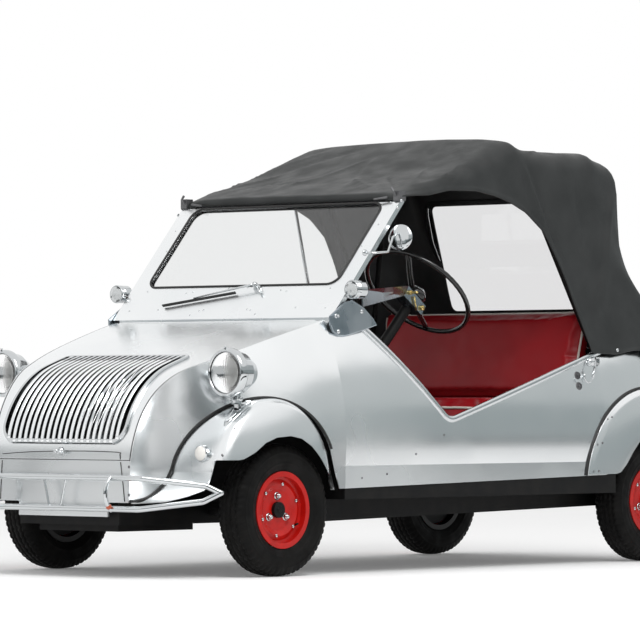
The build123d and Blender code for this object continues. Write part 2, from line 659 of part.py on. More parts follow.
def hood_section(st, inset):
    """Arch of the soft top at one station."""
    foot, top, z = st["foot"] - inset, st["top"] - inset, st["z"] - inset
    low = HOOD_SIDE_Z - inset
    r = st["corner"] - inset
    y = st["y"]
    near = 0.3 * r
    return make_face([Line((-foot, y, low), (foot, y, low)), Line((foot, y, low), (top, y, z - r)),
                      ThreePointArc((top, y, z - r), (top - near, y, z - near), (top - r, y, z)),
                      ThreePointArc((top - r, y, z), (0, y, z + st["crown"]), (r - top, y, z)),
                      ThreePointArc((r - top, y, z), (near - top, y, z - near), (-top, y, z - r)),
                      Line((-top, y, z - r), (-foot, y, low))])


def hood_back(inset):
    """Side view of the back of the soft top, moved in by a share of the cloth."""
    return [(y - inset, z - (inset if i < 3 else 0)) for i, (y, z) in enumerate(HOOD_BACK)]


def hood_form(inset):
    """Closed form of the soft top, trimmed by its sloping back."""
    form = loft([hood_section(st, inset) for st in HOOD_STATIONS], ruled=True)
    back = hood_back(inset)
    outline = [(-400.0, 500.0), (-400.0, 1500.0), (back[0][0] - 40, 1500.0)] + back + [(back[-1][0], 500.0)]
    return form & across(yz_face(outline), WIDE)


def hood():
    """Fabric top with its open sides and its rear window hole."""
    shell = hood_form(0.0) - hood_form(CLOTH)
    below = HOOD_SIDE_Z - 140.0
    behind_hem = block(-WIDE, WIDE, HOOD_FRONT_Y + CLOTH, 1200, below, 1500)
    shell &= behind_hem + block(-WIDE, WIDE, -240, -210, 1100, 1200)
    shell -= across(yz_face(HOOD_MOUTH + [(HOOD_MOUTH[-1][0], below), (-300.0, below)]), WIDE)
    shell -= across(yz_face(HOOD_HEM + [(HOOD_HEM[-1][0], below), (HOOD_HEM[0][0], below)]), WIDE)
    shell -= hull(-HOOD_CLEAR) & across(profile(-HOOD_CLEAR), WIDER)
    window = Pos(0, 1000, (WINDOW["low"] + WINDOW["high"]) / 2) * Box(
        2 * WINDOW["half"], 300, WINDOW["high"] - WINDOW["low"])
    return shell - window


def hood_window():
    """Clear pane in the back of the soft top."""
    t = WINDOW["t"]
    middle = (CLOTH - t) / 2
    sheet = yz_face(hood_back(middle) + [(y - t, z) for y, z in reversed(hood_back(middle))])
    half = WINDOW["half"] - GAP
    return across(sheet, half) & block(-half, half, 800, 1200, WINDOW["low"] + GAP, WINDOW["high"] - GAP)


def hood_bow(station):
    """One hoop of the hood frame, from pivot to pivot."""
    inside = CLOTH + BOW_R + GAP
    top_z = station["z"] - inside
    half = station["top"] - inside - BOW_CLEAR
    py, pz = BOW_PIVOT
    corners = [(half, station["y"], top_z), (-half, station["y"], top_z)]
    return tube([(BOW_FOOT_X, py, pz)] + corners + [(-BOW_FOOT_X, py, pz)], BOW_R, BOW_BEND)


def hood_bows():
    """Two hoops that hold the soft top up."""
    front, rear = BOW_STATIONS
    return hood_bow(front) + hood_bow(rear)


def seat_cushion():
    """Bench cushion with a rolled front edge."""
    c = CUSHION
    part = block(-SEAT_HALF, SEAT_HALF, c["front"], c["back"], SEAT_BASE_Z + SEAT_BASE_T + GAP, c["high"])
    return fillet(part.edges().filter_by(Axis.X), 30)


def seat_backrest():
    """Leaning back of the bench."""
    b = BACKREST
    low = CUSHION["high"] + GAP
    pts = [(b["foot"], low), (b["foot"] + b["t"], low), (b["head"] + b["t"] * 0.6, b["high"]),
           (b["head"], b["high"])]
    part = across(yz_face(pts), SEAT_HALF)
    return fillet(part.edges().filter_by(Axis.X).group_by(Axis.Z)[-1], 16)


def column_axis():
    """Unit vector from the floor end of the steering column to the driver."""
    a = radians(WHEEL_TILT)
    return Vector(0, cos(a), sin(a))


def steering_column():
    """Column tube from the floor to the hub of the wheel."""
    top = Vector(*WHEEL_AT) - column_axis() * 26
    floor_top = RAIL_TOP_Z + FLOOR_T
    down = (top.Z - floor_top) / column_axis().Z + 2 * COLUMN_R
    tube_part = rod(top - column_axis() * down, top, COLUMN_R)
    return tube_part - block(0, 500, -800, 0, 0, floor_top)


def steering_wheel():
    """Three-spoke wheel with a thin rim."""
    plane = Plane(origin=WHEEL_AT, x_dir=(1, 0, 0), z_dir=column_axis())
    part = plane * Torus(STEER_R, STEER_GRIP)
    part += plane * Pos(0, 0, -10) * Cylinder(30, 30)
    for a in (0, 120, 240):
        part += plane * Rot(0, 0, a + 90) * Pos(STEER_R / 2, 0, -2) * Box(STEER_R - 4, 16, 6)
    return part


def headlamp():
    """Left headlamp bowl with its rim, stalk and foot."""
    p = LAMP
    r, d = p["r"], p["depth"]
    pts = [(0, 0), (0, r - 8), (-6, r - 8), (-6, r), (8, r), (14, r - 4), (d * 0.45, r * 0.86),
           (d * 0.8, r * 0.55), (d, 0)]
    bowl = spin_about_y(pts, p["x"], p["y"], p["z"])
    stalk = rod((p["x"], p["y"] + 46, 470), (p["x"], p["y"] + 40, p["z"] - 40), 11)
    foot = Pos(p["x"], p["y"] + 46, 0) * extrude(Ellipse(20, 52), amount=600)
    plate = across(wing_outline(-LAMP_FOOT_T), WIDE) - across(wing_outline(-GAP), WIDER)
    foot = foot & plate & block(0, WIDE, -1100, -800, 400, 600)
    stalk = stalk - across(wing_outline(-GAP), WIDE)
    return bowl + stalk + foot


def headlamp_lens():
    """Slightly domed glass of the left headlamp."""
    r = LAMP["r"] - 8 - GAP
    return spin_about_y([(-GAP, 0), (-GAP, r), (-5, r), (-10, r * 0.7), (-14, r * 0.35), (-15, 0)],
                        LAMP["x"], LAMP["y"], LAMP["z"])


def front_bumper():
    """Two bars drawn together at the ends, with hoops, a centre mark and brackets."""
    high, low = BUMPER_BARS
    tx, ty, tz = BUMPER_TIP
    parts = Pos(tx, ty, tz) * Sphere(TUBE_R) + Pos(-tx, ty, tz) * Sphere(TUBE_R)
    for bar in BUMPER_BARS:
        ex, ey, ez = bar["end"]
        right = [(tx, ty, tz), (ex, ey, ez), (BUMPER_STRAIGHT, BUMPER_Y, bar["z"])]
        parts += tube([(-x, y, z) for x, y, z in right] + right[::-1], TUBE_R, 30)
    for side in (1, -1):
        parts += bumper_hoop(side * HOOP_X, low["z"], high["z"])
        mark_low = (side * MARK_LOW_X, BUMPER_Y, low["z"])
        parts += rod(mark_low, (side * MARK_TOP_X, BUMPER_Y, high["z"]), MARK_R)
        parts += rod((side * MARK_LOW_X, BUMPER_Y, low["z"]), (0, BUMPER_Y, low["z"]), MARK_R)
        parts += block(side * (BRACKET_X - BRACKET_W / 2), side * (BRACKET_X + BRACKET_W / 2), BUMPER_Y,
                       NOSE_RAIL_FRONT_Y, low["z"] - BRACKET_T / 2, low["z"] + BRACKET_T / 2)
    return parts


def bumper_hoop(x, low, high):
    """Curved guard that stands out in front of both bars."""
    front = BUMPER_Y - HOOP_OUT
    start, end = (x, BUMPER_Y, low - HOOP_PAST), (x, BUMPER_Y, high + HOOP_PAST)
    path = ThreePointArc(start, (x, front, (low + high) / 2), end)
    return sweep(Plane(origin=path @ 0, z_dir=path % 0) * Circle(HOOP_R), path=path)


def rear_bumper():
    """Single bar across the tail on two brackets."""
    z = REAR_BUMPER_Z
    y = REAR_BUMPER_Y
    b = REAR_BRACKET
    bar = rod((-REAR_BUMPER_HALF, y, z), (REAR_BUMPER_HALF, y, z), TUBE_R)
    for side in (1, -1):
        bar += block(side * b["inner"], side * b["outer"], TAIL_Y, y, z - b["t"] / 2, z + b["t"] / 2)
    return bar


def round_lamp(x, y, z, r, depth, facing):
    """Small round lamp: bowl and lens in one, facing -1 forwards or +1 backwards."""
    pts = [(0, 0), (0, r), (facing * depth * 0.5, r), (facing * depth * 0.9, r * 0.6), (facing * depth, 0)]
    return spin_about_y(pts, x, y, z)


def side_lamp():
    """Left parking lamp on the apron of the wing."""
    s = SIDE_LAMP
    y = WING_C[0] - (WING_R ** 2 - (s["z"] - WING_C[1]) ** 2) ** 0.5 - 2
    return round_lamp(s["x"], y, s["z"], s["r"], s["depth"], -1) - across(wing_outline(-GAP), WIDE)


def turn_lamp():
    """Left indicator on a peg beside the windscreen post."""
    t = TURN_LAMP
    lamp = round_lamp(t["x"], t["y"], t["z"], t["r"], t["depth"], -1)
    lamp += round_lamp(t["x"], t["y"], t["z"], t["r"], t["depth"] * 0.7, 1)
    return lamp + rod((SCREEN_HALF, t["y"] + 8, t["z"]), (t["x"], t["y"] + 8, t["z"]), 7)


def tail_lamp():
    """Left rear lamp on the back sheet."""
    t = TAIL_LAMP
    y = tail_face_y(t["z"])
    return round_lamp(t["x"], y, t["z"], t["r"], t["depth"], 1) - SIDE_VIEW


def tail_face_y(z):
    """Where the outside of the back stands at a height."""
    rise = z - (DECK_Z - TAIL_R)
    return TAIL_Y if rise <= 0 else TAIL_Y - TAIL_R + (TAIL_R ** 2 - rise ** 2) ** 0.5


def mirror_part():
    """Round mirror on a cranked arm from the windscreen post."""
    m = MIRROR
    r, t, x = m["r"], m["t"], m["x"]
    head = spin_about_y([(0, 0), (0, r), (-4, r), (-t, r / 2), (-t, 0)], x, m["y"], m["z"])
    lean = (SCREEN_HEAD[0] - SCREEN_FOOT[0]) / (SCREEN_HEAD[1] - SCREEN_FOOT[1])
    arm_y = SCREEN_FOOT[0] + (m["arm_z"] - SCREEN_FOOT[1]) * lean + 8
    bend = (x, arm_y, m["arm_z"])
    arm = tube([(SCREEN_HALF, arm_y, m["arm_z"]), bend, (x, m["y"] - 8, m["z"] - 20)], m["arm_r"], 10)
    return head + arm


def wiper():
    """Blade and arm on a pivot below the glass."""
    plane = screen_plane()

    def at(x, v, lift):
        return plane.from_local_coords((x, v, lift))

    parts = rod(at(103, 92, GAP), at(103, 92, 22), 12)
    parts += rod(at(103, 92, 14), at(-20, 70, 14), 3)
    return parts + rod(at(-239, 23, 14), at(21, 73, 14), 4)


def export_all():
    os.makedirs("parts", exist_ok=True)
    pieces = {
        "chassis_frame": chassis_frame(),
        "floor_pan": floor_pan(),
        "engine_block": engine_block(),
        "front_axle": front_axle(),
        "rear_axle": rear_axle(),
        "bonnet": bonnet(),
        "grille": grille(),
        "nose_valance": nose_valance(),
        "scuttle": scuttle(),
        "tail_panel": tail_panel(),
        "windscreen_frame": windscreen_frame(),
        "windscreen_glass": windscreen_glass(),
        "hood": hood(),
        "hood_window": hood_window(),
        "hood_bows": hood_bows(),
        "seat_cushion": seat_cushion(),
        "seat_backrest": seat_backrest(),
        "steering_column": steering_column(),
        "steering_wheel": steering_wheel(),
        "front_bumper": front_bumper(),
        "rear_bumper": rear_bumper(),
        "mirror": mirror_part(),
        "wiper": wiper(),
    }
    paired = {
        "body_side": body_side(),
        "front_wing": front_wing(),
        "rear_wing": rear_wing(),
        "headlamp": headlamp(),
        "headlamp_lens": headlamp_lens(),
        "side_lamp": side_lamp(),
        "turn_lamp": turn_lamp(),
        "tail_lamp": tail_lamp(),
    }
    for name, part in paired.items():
        pieces[name + "_left"] = part
        pieces[name + "_right"] = mirrored(part)
    for side, name in ((1, "left"), (-1, "right")):
        pieces["knuckle_" + name] = knuckle(side)
        for end, y in (("front", FRONT_AXLE_Y), ("rear", REAR_AXLE_Y)):
            pieces[f"rim_{end}_{name}"] = rim(side * WHEEL_X, y, side)
            pieces[f"tyre_{end}_{name}"] = tyre(side * WHEEL_X, y)
    for name, part in pieces.items():
        export_step(part, f"parts/{name}.step")


export_all()
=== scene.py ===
import bpy
import bmesh
import math
import random
from math import cos, pi, radians, sin
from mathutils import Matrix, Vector, noise
from mathutils.bvhtree import BVHTree


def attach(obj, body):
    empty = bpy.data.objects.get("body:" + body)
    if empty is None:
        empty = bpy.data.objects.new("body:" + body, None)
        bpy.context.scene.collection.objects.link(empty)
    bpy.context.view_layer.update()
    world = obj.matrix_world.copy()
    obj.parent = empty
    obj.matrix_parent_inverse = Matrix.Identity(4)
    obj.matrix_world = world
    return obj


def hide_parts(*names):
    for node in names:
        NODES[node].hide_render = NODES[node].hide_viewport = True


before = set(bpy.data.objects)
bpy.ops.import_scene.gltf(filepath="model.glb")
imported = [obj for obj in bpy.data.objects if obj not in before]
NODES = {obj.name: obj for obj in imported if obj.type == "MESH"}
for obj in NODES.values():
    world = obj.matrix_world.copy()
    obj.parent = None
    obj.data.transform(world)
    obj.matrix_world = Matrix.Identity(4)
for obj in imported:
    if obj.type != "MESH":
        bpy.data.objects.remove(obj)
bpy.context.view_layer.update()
random.seed(11)
MM = 0.001

# Where the photograph was taken from
CAMERA_AT = (9.9396, -10.9224, 0.5492)
CAMERA_YAW = 42.499
CAMERA_RISE = 0.911
CAMERA_LENS = 259.85

# Wheels
TYRE_R = 0.2
TYRE_W = 0.105
WHEEL_X = 0.462
FRONT_AXLE_Y = -0.788
REAR_AXLE_Y = 0.988
DISC_OUT = 0.016
NUT_CIRCLE_R = 0.042

# Body lines shared with the solids
DOOR_TOP = (-0.395, 0.757)
DOOR_LOW = (-0.071, 0.462)
DOOR_BACK = (0.760, 0.694)
WING_C = (-0.835, 0.290)
WING_R = 0.244
REAR_WING_C = (0.925, 0.240)
REAR_WING_R = 0.326
SCREEN_FOOT = (-0.537, 0.781)
SCREEN_HEAD = (-0.213, 1.153)
LAMP = dict(x=0.480, y=-1.006, z=0.611, r=0.072)


def shader_group(name, inputs, outputs):
    """Empty shader group with named sockets: the tree, its input node and its output node."""
    tree = bpy.data.node_groups.new(name, "ShaderNodeTree")
    for label, kind, value in inputs:
        tree.interface.new_socket(label, in_out="INPUT", socket_type=kind).default_value = value
    for label, kind in outputs:
        tree.interface.new_socket(label, in_out="OUTPUT", socket_type=kind)
    return tree, tree.nodes.new("NodeGroupInput"), tree.nodes.new("NodeGroupOutput")


def make_mottle():
    """Soft clouds of tone, 0 to 1, that can be drawn out along one way."""
    tree, given, out = shader_group("mottle", [
        ("Scale", "NodeSocketFloat", 8.0), ("Stretch", "NodeSocketVector", (1, 1, 1)),
        ("Detail", "NodeSocketFloat", 4.0), ("Low", "NodeSocketFloat", 0.35),
        ("High", "NodeSocketFloat", 0.65)],
        [("Value", "NodeSocketFloat")])
    place = tree.nodes.new("ShaderNodeTexCoord")
    stretch = tree.nodes.new("ShaderNodeVectorMath")
    stretch.operation = "MULTIPLY"
    cloud = tree.nodes.new("ShaderNodeTexNoise")
    span = tree.nodes.new("ShaderNodeMapRange")
    link = tree.links.new
    link(place.outputs["Object"], stretch.inputs[0])
    link(given.outputs["Stretch"], stretch.inputs[1])
    link(stretch.outputs["Vector"], cloud.inputs["Vector"])
    link(given.outputs["Scale"], cloud.inputs["Scale"])
    link(given.outputs["Detail"], cloud.inputs["Detail"])
    link(cloud.outputs["Fac"], span.inputs["Value"])
    link(given.outputs["Low"], span.inputs["From Min"])
    link(given.outputs["High"], span.inputs["From Max"])
    link(span.outputs["Result"], out.inputs["Value"])
    return tree


def make_weave():
    """Height of crossed threads, from two bands at right angles."""
    tree, given, out = shader_group("weave", [("Threads per metre", "NodeSocketFloat", 900.0)],
                                    [("Height", "NodeSocketFloat")])
    place = tree.nodes.new("ShaderNodeTexCoord")
    link = tree.links.new
    bands = []
    for way in ("X", "Y", "Z"):
        band = tree.nodes.new("ShaderNodeTexWave")
        band.wave_type = "BANDS"
        band.bands_direction = way
        band.inputs["Distortion"].default_value = 0.6
        link(place.outputs["Object"], band.inputs["Vector"])
        link(given.outputs["Threads per metre"], band.inputs["Scale"])
        bands.append(band)
    first = tree.nodes.new("ShaderNodeMath")
    first.operation = "MULTIPLY"
    link(bands[0].outputs["Fac"], first.inputs[0])
    link(bands[1].outputs["Fac"], first.inputs[1])
    second = tree.nodes.new("ShaderNodeMath")
    second.operation = "ADD"
    link(first.outputs[0], second.inputs[0])
    link(bands[2].outputs["Fac"], second.inputs[1])
    link(second.outputs[0], out.inputs["Height"])
    return tree


MOTTLE = make_mottle()
WEAVE = make_weave()


class Finish:
    """A material under construction, with its Principled shader ready to be fed."""

    def __init__(self, name, colour, rough, metallic=0.0, **sockets):
        self.material = bpy.data.materials.new(name)
        self.material.use_nodes = True
        self.tree = self.material.node_tree
        self.shader = self.tree.nodes["Principled BSDF"]
        self.colour = (*colour[:3], 1.0)
        self.rough = rough
        self.shader.inputs["Base Color"].default_value = self.colour
        self.shader.inputs["Roughness"].default_value = rough
        self.shader.inputs["Metallic"].default_value = metallic
        for label, value in sockets.items():
            self.shader.inputs[label.replace("_", " ").title().replace("Ior", "IOR")].default_value = value
        self.material.diffuse_color = self.colour

    def node(self, kind, **values):
        made = self.tree.nodes.new(kind)
        for label, value in values.items():
            made.inputs[label.replace("_", " ")].default_value = value
        return made

    def group(self, tree, **values):
        made = self.tree.nodes.new("ShaderNodeGroup")
        made.node_tree = tree
        for label, value in values.items():
            made.inputs[label.replace("_", " ")].default_value = value
        return made

    def link(self, a, b):
        self.tree.links.new(a, b)

    def tone(self, dark, light, **mottle):
        """Base colour that drifts between two tones."""
        cloud = self.group(MOTTLE, **mottle)
        mix = self.node("ShaderNodeMix")
        mix.data_type = "RGBA"
        mix.inputs[6].default_value = (*dark, 1.0)
        mix.inputs[7].default_value = (*light, 1.0)
        self.link(cloud.outputs["Value"], mix.inputs[0])
        self.link(mix.outputs[2], self.shader.inputs["Base Color"])
        return self

    def polish(self, low, high, **mottle):
        """Roughness that drifts between two values."""
        cloud = self.group(MOTTLE, **mottle)
        span = self.node("ShaderNodeMapRange")
        span.inputs["To Min"].default_value = low
        span.inputs["To Max"].default_value = high
        self.link(cloud.outputs["Value"], span.inputs["Value"])
        self.link(span.outputs["Result"], self.shader.inputs["Roughness"])
        return self

    def bump(self, source, strength, distance):
        """Surface relief from a height."""
        relief = self.node("ShaderNodeBump")
        relief.inputs["Strength"].default_value = strength
        relief.inputs["Distance"].default_value = distance
        self.link(source, relief.inputs["Height"])
        self.link(relief.outputs["Normal"], self.shader.inputs["Normal"])
        return self

    def grain(self, strength, distance, **mottle):
        cloud = self.group(MOTTLE, Low=0.0, High=1.0, **mottle)
        return self.bump(cloud.outputs["Value"], strength, distance)


def bare_aluminium():
    skin = Finish("bare aluminium", (0.86, 0.875, 0.88), 0.3, metallic=1.0)
    skin.tone((0.83, 0.85, 0.86), (0.88, 0.895, 0.90), Scale=3.0, Detail=2.0)
    skin.polish(0.17, 0.30, Scale=2.5, Detail=2.0)
    return skin.material


def polished_aluminium():
    trim = Finish("polished aluminium trim", (0.66, 0.68, 0.69), 0.16, metallic=1.0)
    return trim.polish(0.10, 0.24, Scale=30.0, Detail=5.0).material


def chrome_plate():
    plate = Finish("chrome plate", (0.60, 0.62, 0.63), 0.06, metallic=1.0)
    return plate.polish(0.04, 0.10, Scale=14.0, Detail=5.0).material


def lamp_silver():
    bowl = Finish("silvered lamp bowl", (0.50, 0.51, 0.51), 0.55, metallic=0.7)
    return bowl.polish(0.50, 0.62, Scale=20.0).material


def rolled_plate():
    plate = Finish("rolled dark plate", (0.36, 0.41, 0.45), 0.26, metallic=1.0)
    plate.tone((0.31, 0.36, 0.40), (0.42, 0.46, 0.49), Scale=9.0, Detail=3.0)
    return plate.polish(0.20, 0.34, Scale=9.0, Detail=3.0).material


def satin_black():
    paint = Finish("satin black paint", (0.004, 0.004, 0.0045), 0.5, specular_ior_level=0.2)
    paint.tone((0.003, 0.003, 0.0035), (0.007, 0.0065, 0.006), Scale=20.0)
    return paint.grain(0.15, 0.0004, Scale=300.0).material


def red_paint():
    paint = Finish("red wheel paint", (0.40, 0.004, 0.003), 0.33, specular_ior_level=0.35)
    # Painted shade: rim faces nearer the middle of the car than |x| 0.45 turn near-black, standing in for the
    # shadow inside the wheel rather than red paint.
    face = paint.node("ShaderNodeTexCoord")
    split = paint.node("ShaderNodeSeparateXYZ")
    paint.link(face.outputs["Object"], split.inputs["Vector"])
    away = paint.node("ShaderNodeMath")
    away.operation = "ABSOLUTE"
    paint.link(split.outputs["X"], away.inputs[0])
    painted_shade_inside = paint.node("ShaderNodeMapRange")
    painted_shade_inside.inputs["From Min"].default_value = 0.448
    painted_shade_inside.inputs["From Max"].default_value = 0.452
    paint.link(away.outputs[0], painted_shade_inside.inputs["Value"])
    cloud = paint.group(MOTTLE, Scale=25.0)
    shade = paint.node("ShaderNodeMix")
    shade.data_type = "RGBA"
    shade.inputs[6].default_value = (0.38, 0.004, 0.002, 1.0)
    shade.inputs[7].default_value = (0.48, 0.006, 0.003, 1.0)
    paint.link(cloud.outputs["Value"], shade.inputs[0])
    # Mixes the red towards the near-black painted shade on the inner faces.
    mix = paint.node("ShaderNodeMix")
    mix.data_type = "RGBA"
    mix.inputs[6].default_value = (0.003, 0.003, 0.003, 1.0)
    paint.link(painted_shade_inside.outputs["Result"], mix.inputs[0])
    paint.link(shade.outputs[2], mix.inputs[7])
    paint.link(mix.outputs[2], paint.shader.inputs["Base Color"])
    return paint.material


def tyre_rubber():
    rubber = Finish("tyre rubber", (0.003, 0.003, 0.003), 0.7, specular_ior_level=0.14)
    rubber.tone((0.0025, 0.0025, 0.0025), (0.006, 0.0055, 0.005), Scale=14.0, Detail=8.0)
    rubber.polish(0.5, 0.75, Scale=30.0)
    return rubber.grain(0.3, 0.0006, Scale=500.0).material


def black_rubber():
    rubber = Finish("black rubber beading", (0.012, 0.012, 0.012), 0.5)
    return rubber.grain(0.2, 0.0002, Scale=700.0).material


def hood_cloth():
    cloth = Finish("coated hood cloth", (0.026, 0.028, 0.028), 0.5, specular_ior_level=0.25)
    cloth.tone((0.022, 0.024, 0.024), (0.031, 0.033, 0.033), Scale=9.0, Detail=6.0)
    cloth.polish(0.42, 0.56, Scale=12.0, Detail=5.0)
    threads = cloth.group(WEAVE, Threads_per_metre=300.0)
    return cloth.bump(threads.outputs["Height"], 0.12, 0.0003).material


def red_vinyl():
    skin = Finish("red leathercloth", (0.31, 0.005, 0.010), 0.45, specular_ior_level=0.3)
    skin.tone((0.28, 0.0045, 0.009), (0.34, 0.006, 0.011), Scale=6.0, Detail=2.0)
    skin.polish(0.40, 0.5, Scale=20.0)
    return skin.grain(0.25, 0.0004, Scale=650.0, Detail=2.0).material


def pale_piping():
    skin = Finish("pale piping", (0.72, 0.66, 0.6), 0.5)
    return skin.grain(0.2, 0.0002, Scale=600.0).material


def clear_glass():
    pane = Finish("clear glass", (0.82, 0.83, 0.83), 0.0, transmission_weight=1.0, ior=1.45)
    pane.polish(0.0, 0.02, Scale=3.0)
    return pane.material


def lamp_glass():
    pane = Finish("lamp glass", (0.96, 0.96, 0.95), 0.06, transmission_weight=1.0, ior=1.45)
    return pane.grain(0.2, 0.001, Scale=60.0, Stretch=(3.0, 1.0, 0.2)).material


def lamp_lens_amber():
    pane = Finish("clear lamp plastic", (0.80, 0.78, 0.74), 0.15, coat_weight=0.5)
    return pane.grain(0.3, 0.0006, Scale=200.0).material


def red_lens():
    pane = Finish("red lamp plastic", (0.45, 0.01, 0.01), 0.15, coat_weight=0.6)
    return pane.grain(0.3, 0.0006, Scale=200.0).material


def clear_sheet():
    pane = Finish("clear hood pane", (0.78, 0.78, 0.785), 0.05, transmission_weight=1.0, ior=1.3)
    return pane.grain(0.2, 0.002, Scale=9.0).material


def brass_plate():
    metal = Finish("yellow plated screw", (0.78, 0.60, 0.24), 0.25, metallic=1.0)
    return metal.polish(0.2, 0.35, Scale=60.0).material


def amber_plastic():
    ball = Finish("amber plastic", (0.42, 0.07, 0.02), 0.3, coat_weight=0.4)
    return ball.grain(0.2, 0.0004, Scale=200.0).material


def black_moulding():
    grip = Finish("black moulding", (0.012, 0.012, 0.012), 0.18, coat_weight=0.4, coat_roughness=0.05)
    return grip.polish(0.12, 0.26, Scale=40.0).material


def grey_steel():
    steel = Finish("dull steel", (0.16, 0.16, 0.165), 0.5, metallic=0.8)
    steel.tone((0.10, 0.10, 0.105), (0.20, 0.20, 0.205), Scale=18.0, Detail=6.0)
    return steel.grain(0.2, 0.0004, Scale=200.0).material


def mirror_glass():
    face = Finish("mirror face", (0.93, 0.94, 0.95), 0.01, metallic=1.0)
    return face.polish(0.0, 0.02, Scale=4.0).material


MATERIALS = {
    "aluminium": bare_aluminium(), "trim": polished_aluminium(), "chrome": chrome_plate(),
    "black": satin_black(),
    "silver": lamp_silver(), "plate": rolled_plate(),
    "red paint": red_paint(), "tyre": tyre_rubber(), "bead": black_rubber(), "cloth": hood_cloth(),
    "vinyl": red_vinyl(), "piping": pale_piping(), "glass": clear_glass(), "lamp glass": lamp_glass(),
    "lamp": lamp_lens_amber(), "red lamp": red_lens(), "pane": clear_sheet(), "moulding": black_moulding(),
    "steel": grey_steel(), "mirror": mirror_glass(), "brass": brass_plate(),
    "amber": amber_plastic(),
}

NODE_FINISH = {
    "chassis_frame": "black", "floor_pan": "black", "engine_block": "black", "front_axle": "black",
    "rear_axle": "black", "bonnet": "aluminium", "grille": "chrome", "nose_valance": "aluminium",
    "scuttle": "aluminium", "tail_panel": "aluminium", "windscreen_frame": "aluminium",
    "windscreen_glass": "glass", "hood": "cloth", "hood_window": "pane", "hood_bows": "black",
    "seat_cushion": "vinyl", "seat_backrest": "vinyl", "steering_column": "black",
    "steering_wheel": "moulding",
    "front_bumper": "chrome", "rear_bumper": "chrome", "mirror": "chrome", "wiper": "steel",
}
for side in ("left", "right"):
    for base, finish in (("body_side", "aluminium"), ("front_wing", "aluminium"), ("rear_wing", "aluminium"),
                         ("headlamp", "chrome"), ("headlamp_lens", "lamp glass"), ("side_lamp", "chrome"),
                         ("turn_lamp", "chrome"), ("tail_lamp", "red lamp"), ("knuckle", "black"),
                         ("rim_front", "red paint"), ("rim_rear", "red paint"), ("tyre_front", "tyre"),
                         ("tyre_rear", "tyre")):
        NODE_FINISH[f"{base}_{side}"] = finish


def paint_nodes():
    """Gives every solid its finish."""
    for name, node in NODES.items():
        node.data.materials.clear()
        node.data.materials.append(MATERIALS[NODE_FINISH[name]])


def piece(name, verts, faces, finish, body, smooth=True, stand_for=()):
    """Mesh object with its finish that rides on a body."""
    mesh = bpy.data.meshes.new(name)
    mesh.from_pydata([tuple(v) for v in verts], [], [tuple(f) for f in faces])
    mesh.validate()
    shape = bpy.data.objects.new(name, mesh)
    bpy.context.scene.collection.objects.link(shape)
    return dress(shape, finish, body, smooth, stand_for)


def dress(shape, finish, body, smooth=True, stand_for=()):
    shape.data.materials.clear()
    shape.data.materials.append(MATERIALS[finish])
    if smooth:
        for face in shape.data.polygons:
            face.use_smooth = True
    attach(shape, body)
    if stand_for:
        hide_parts(*stand_for)
    return shape


def sharpen(shape, angle=35):
    """Keeps hard edges crisp under smooth shading."""
    edge = shape.modifiers.new("crisp edges", "EDGE_SPLIT")
    edge.split_angle = radians(angle)
    return shape


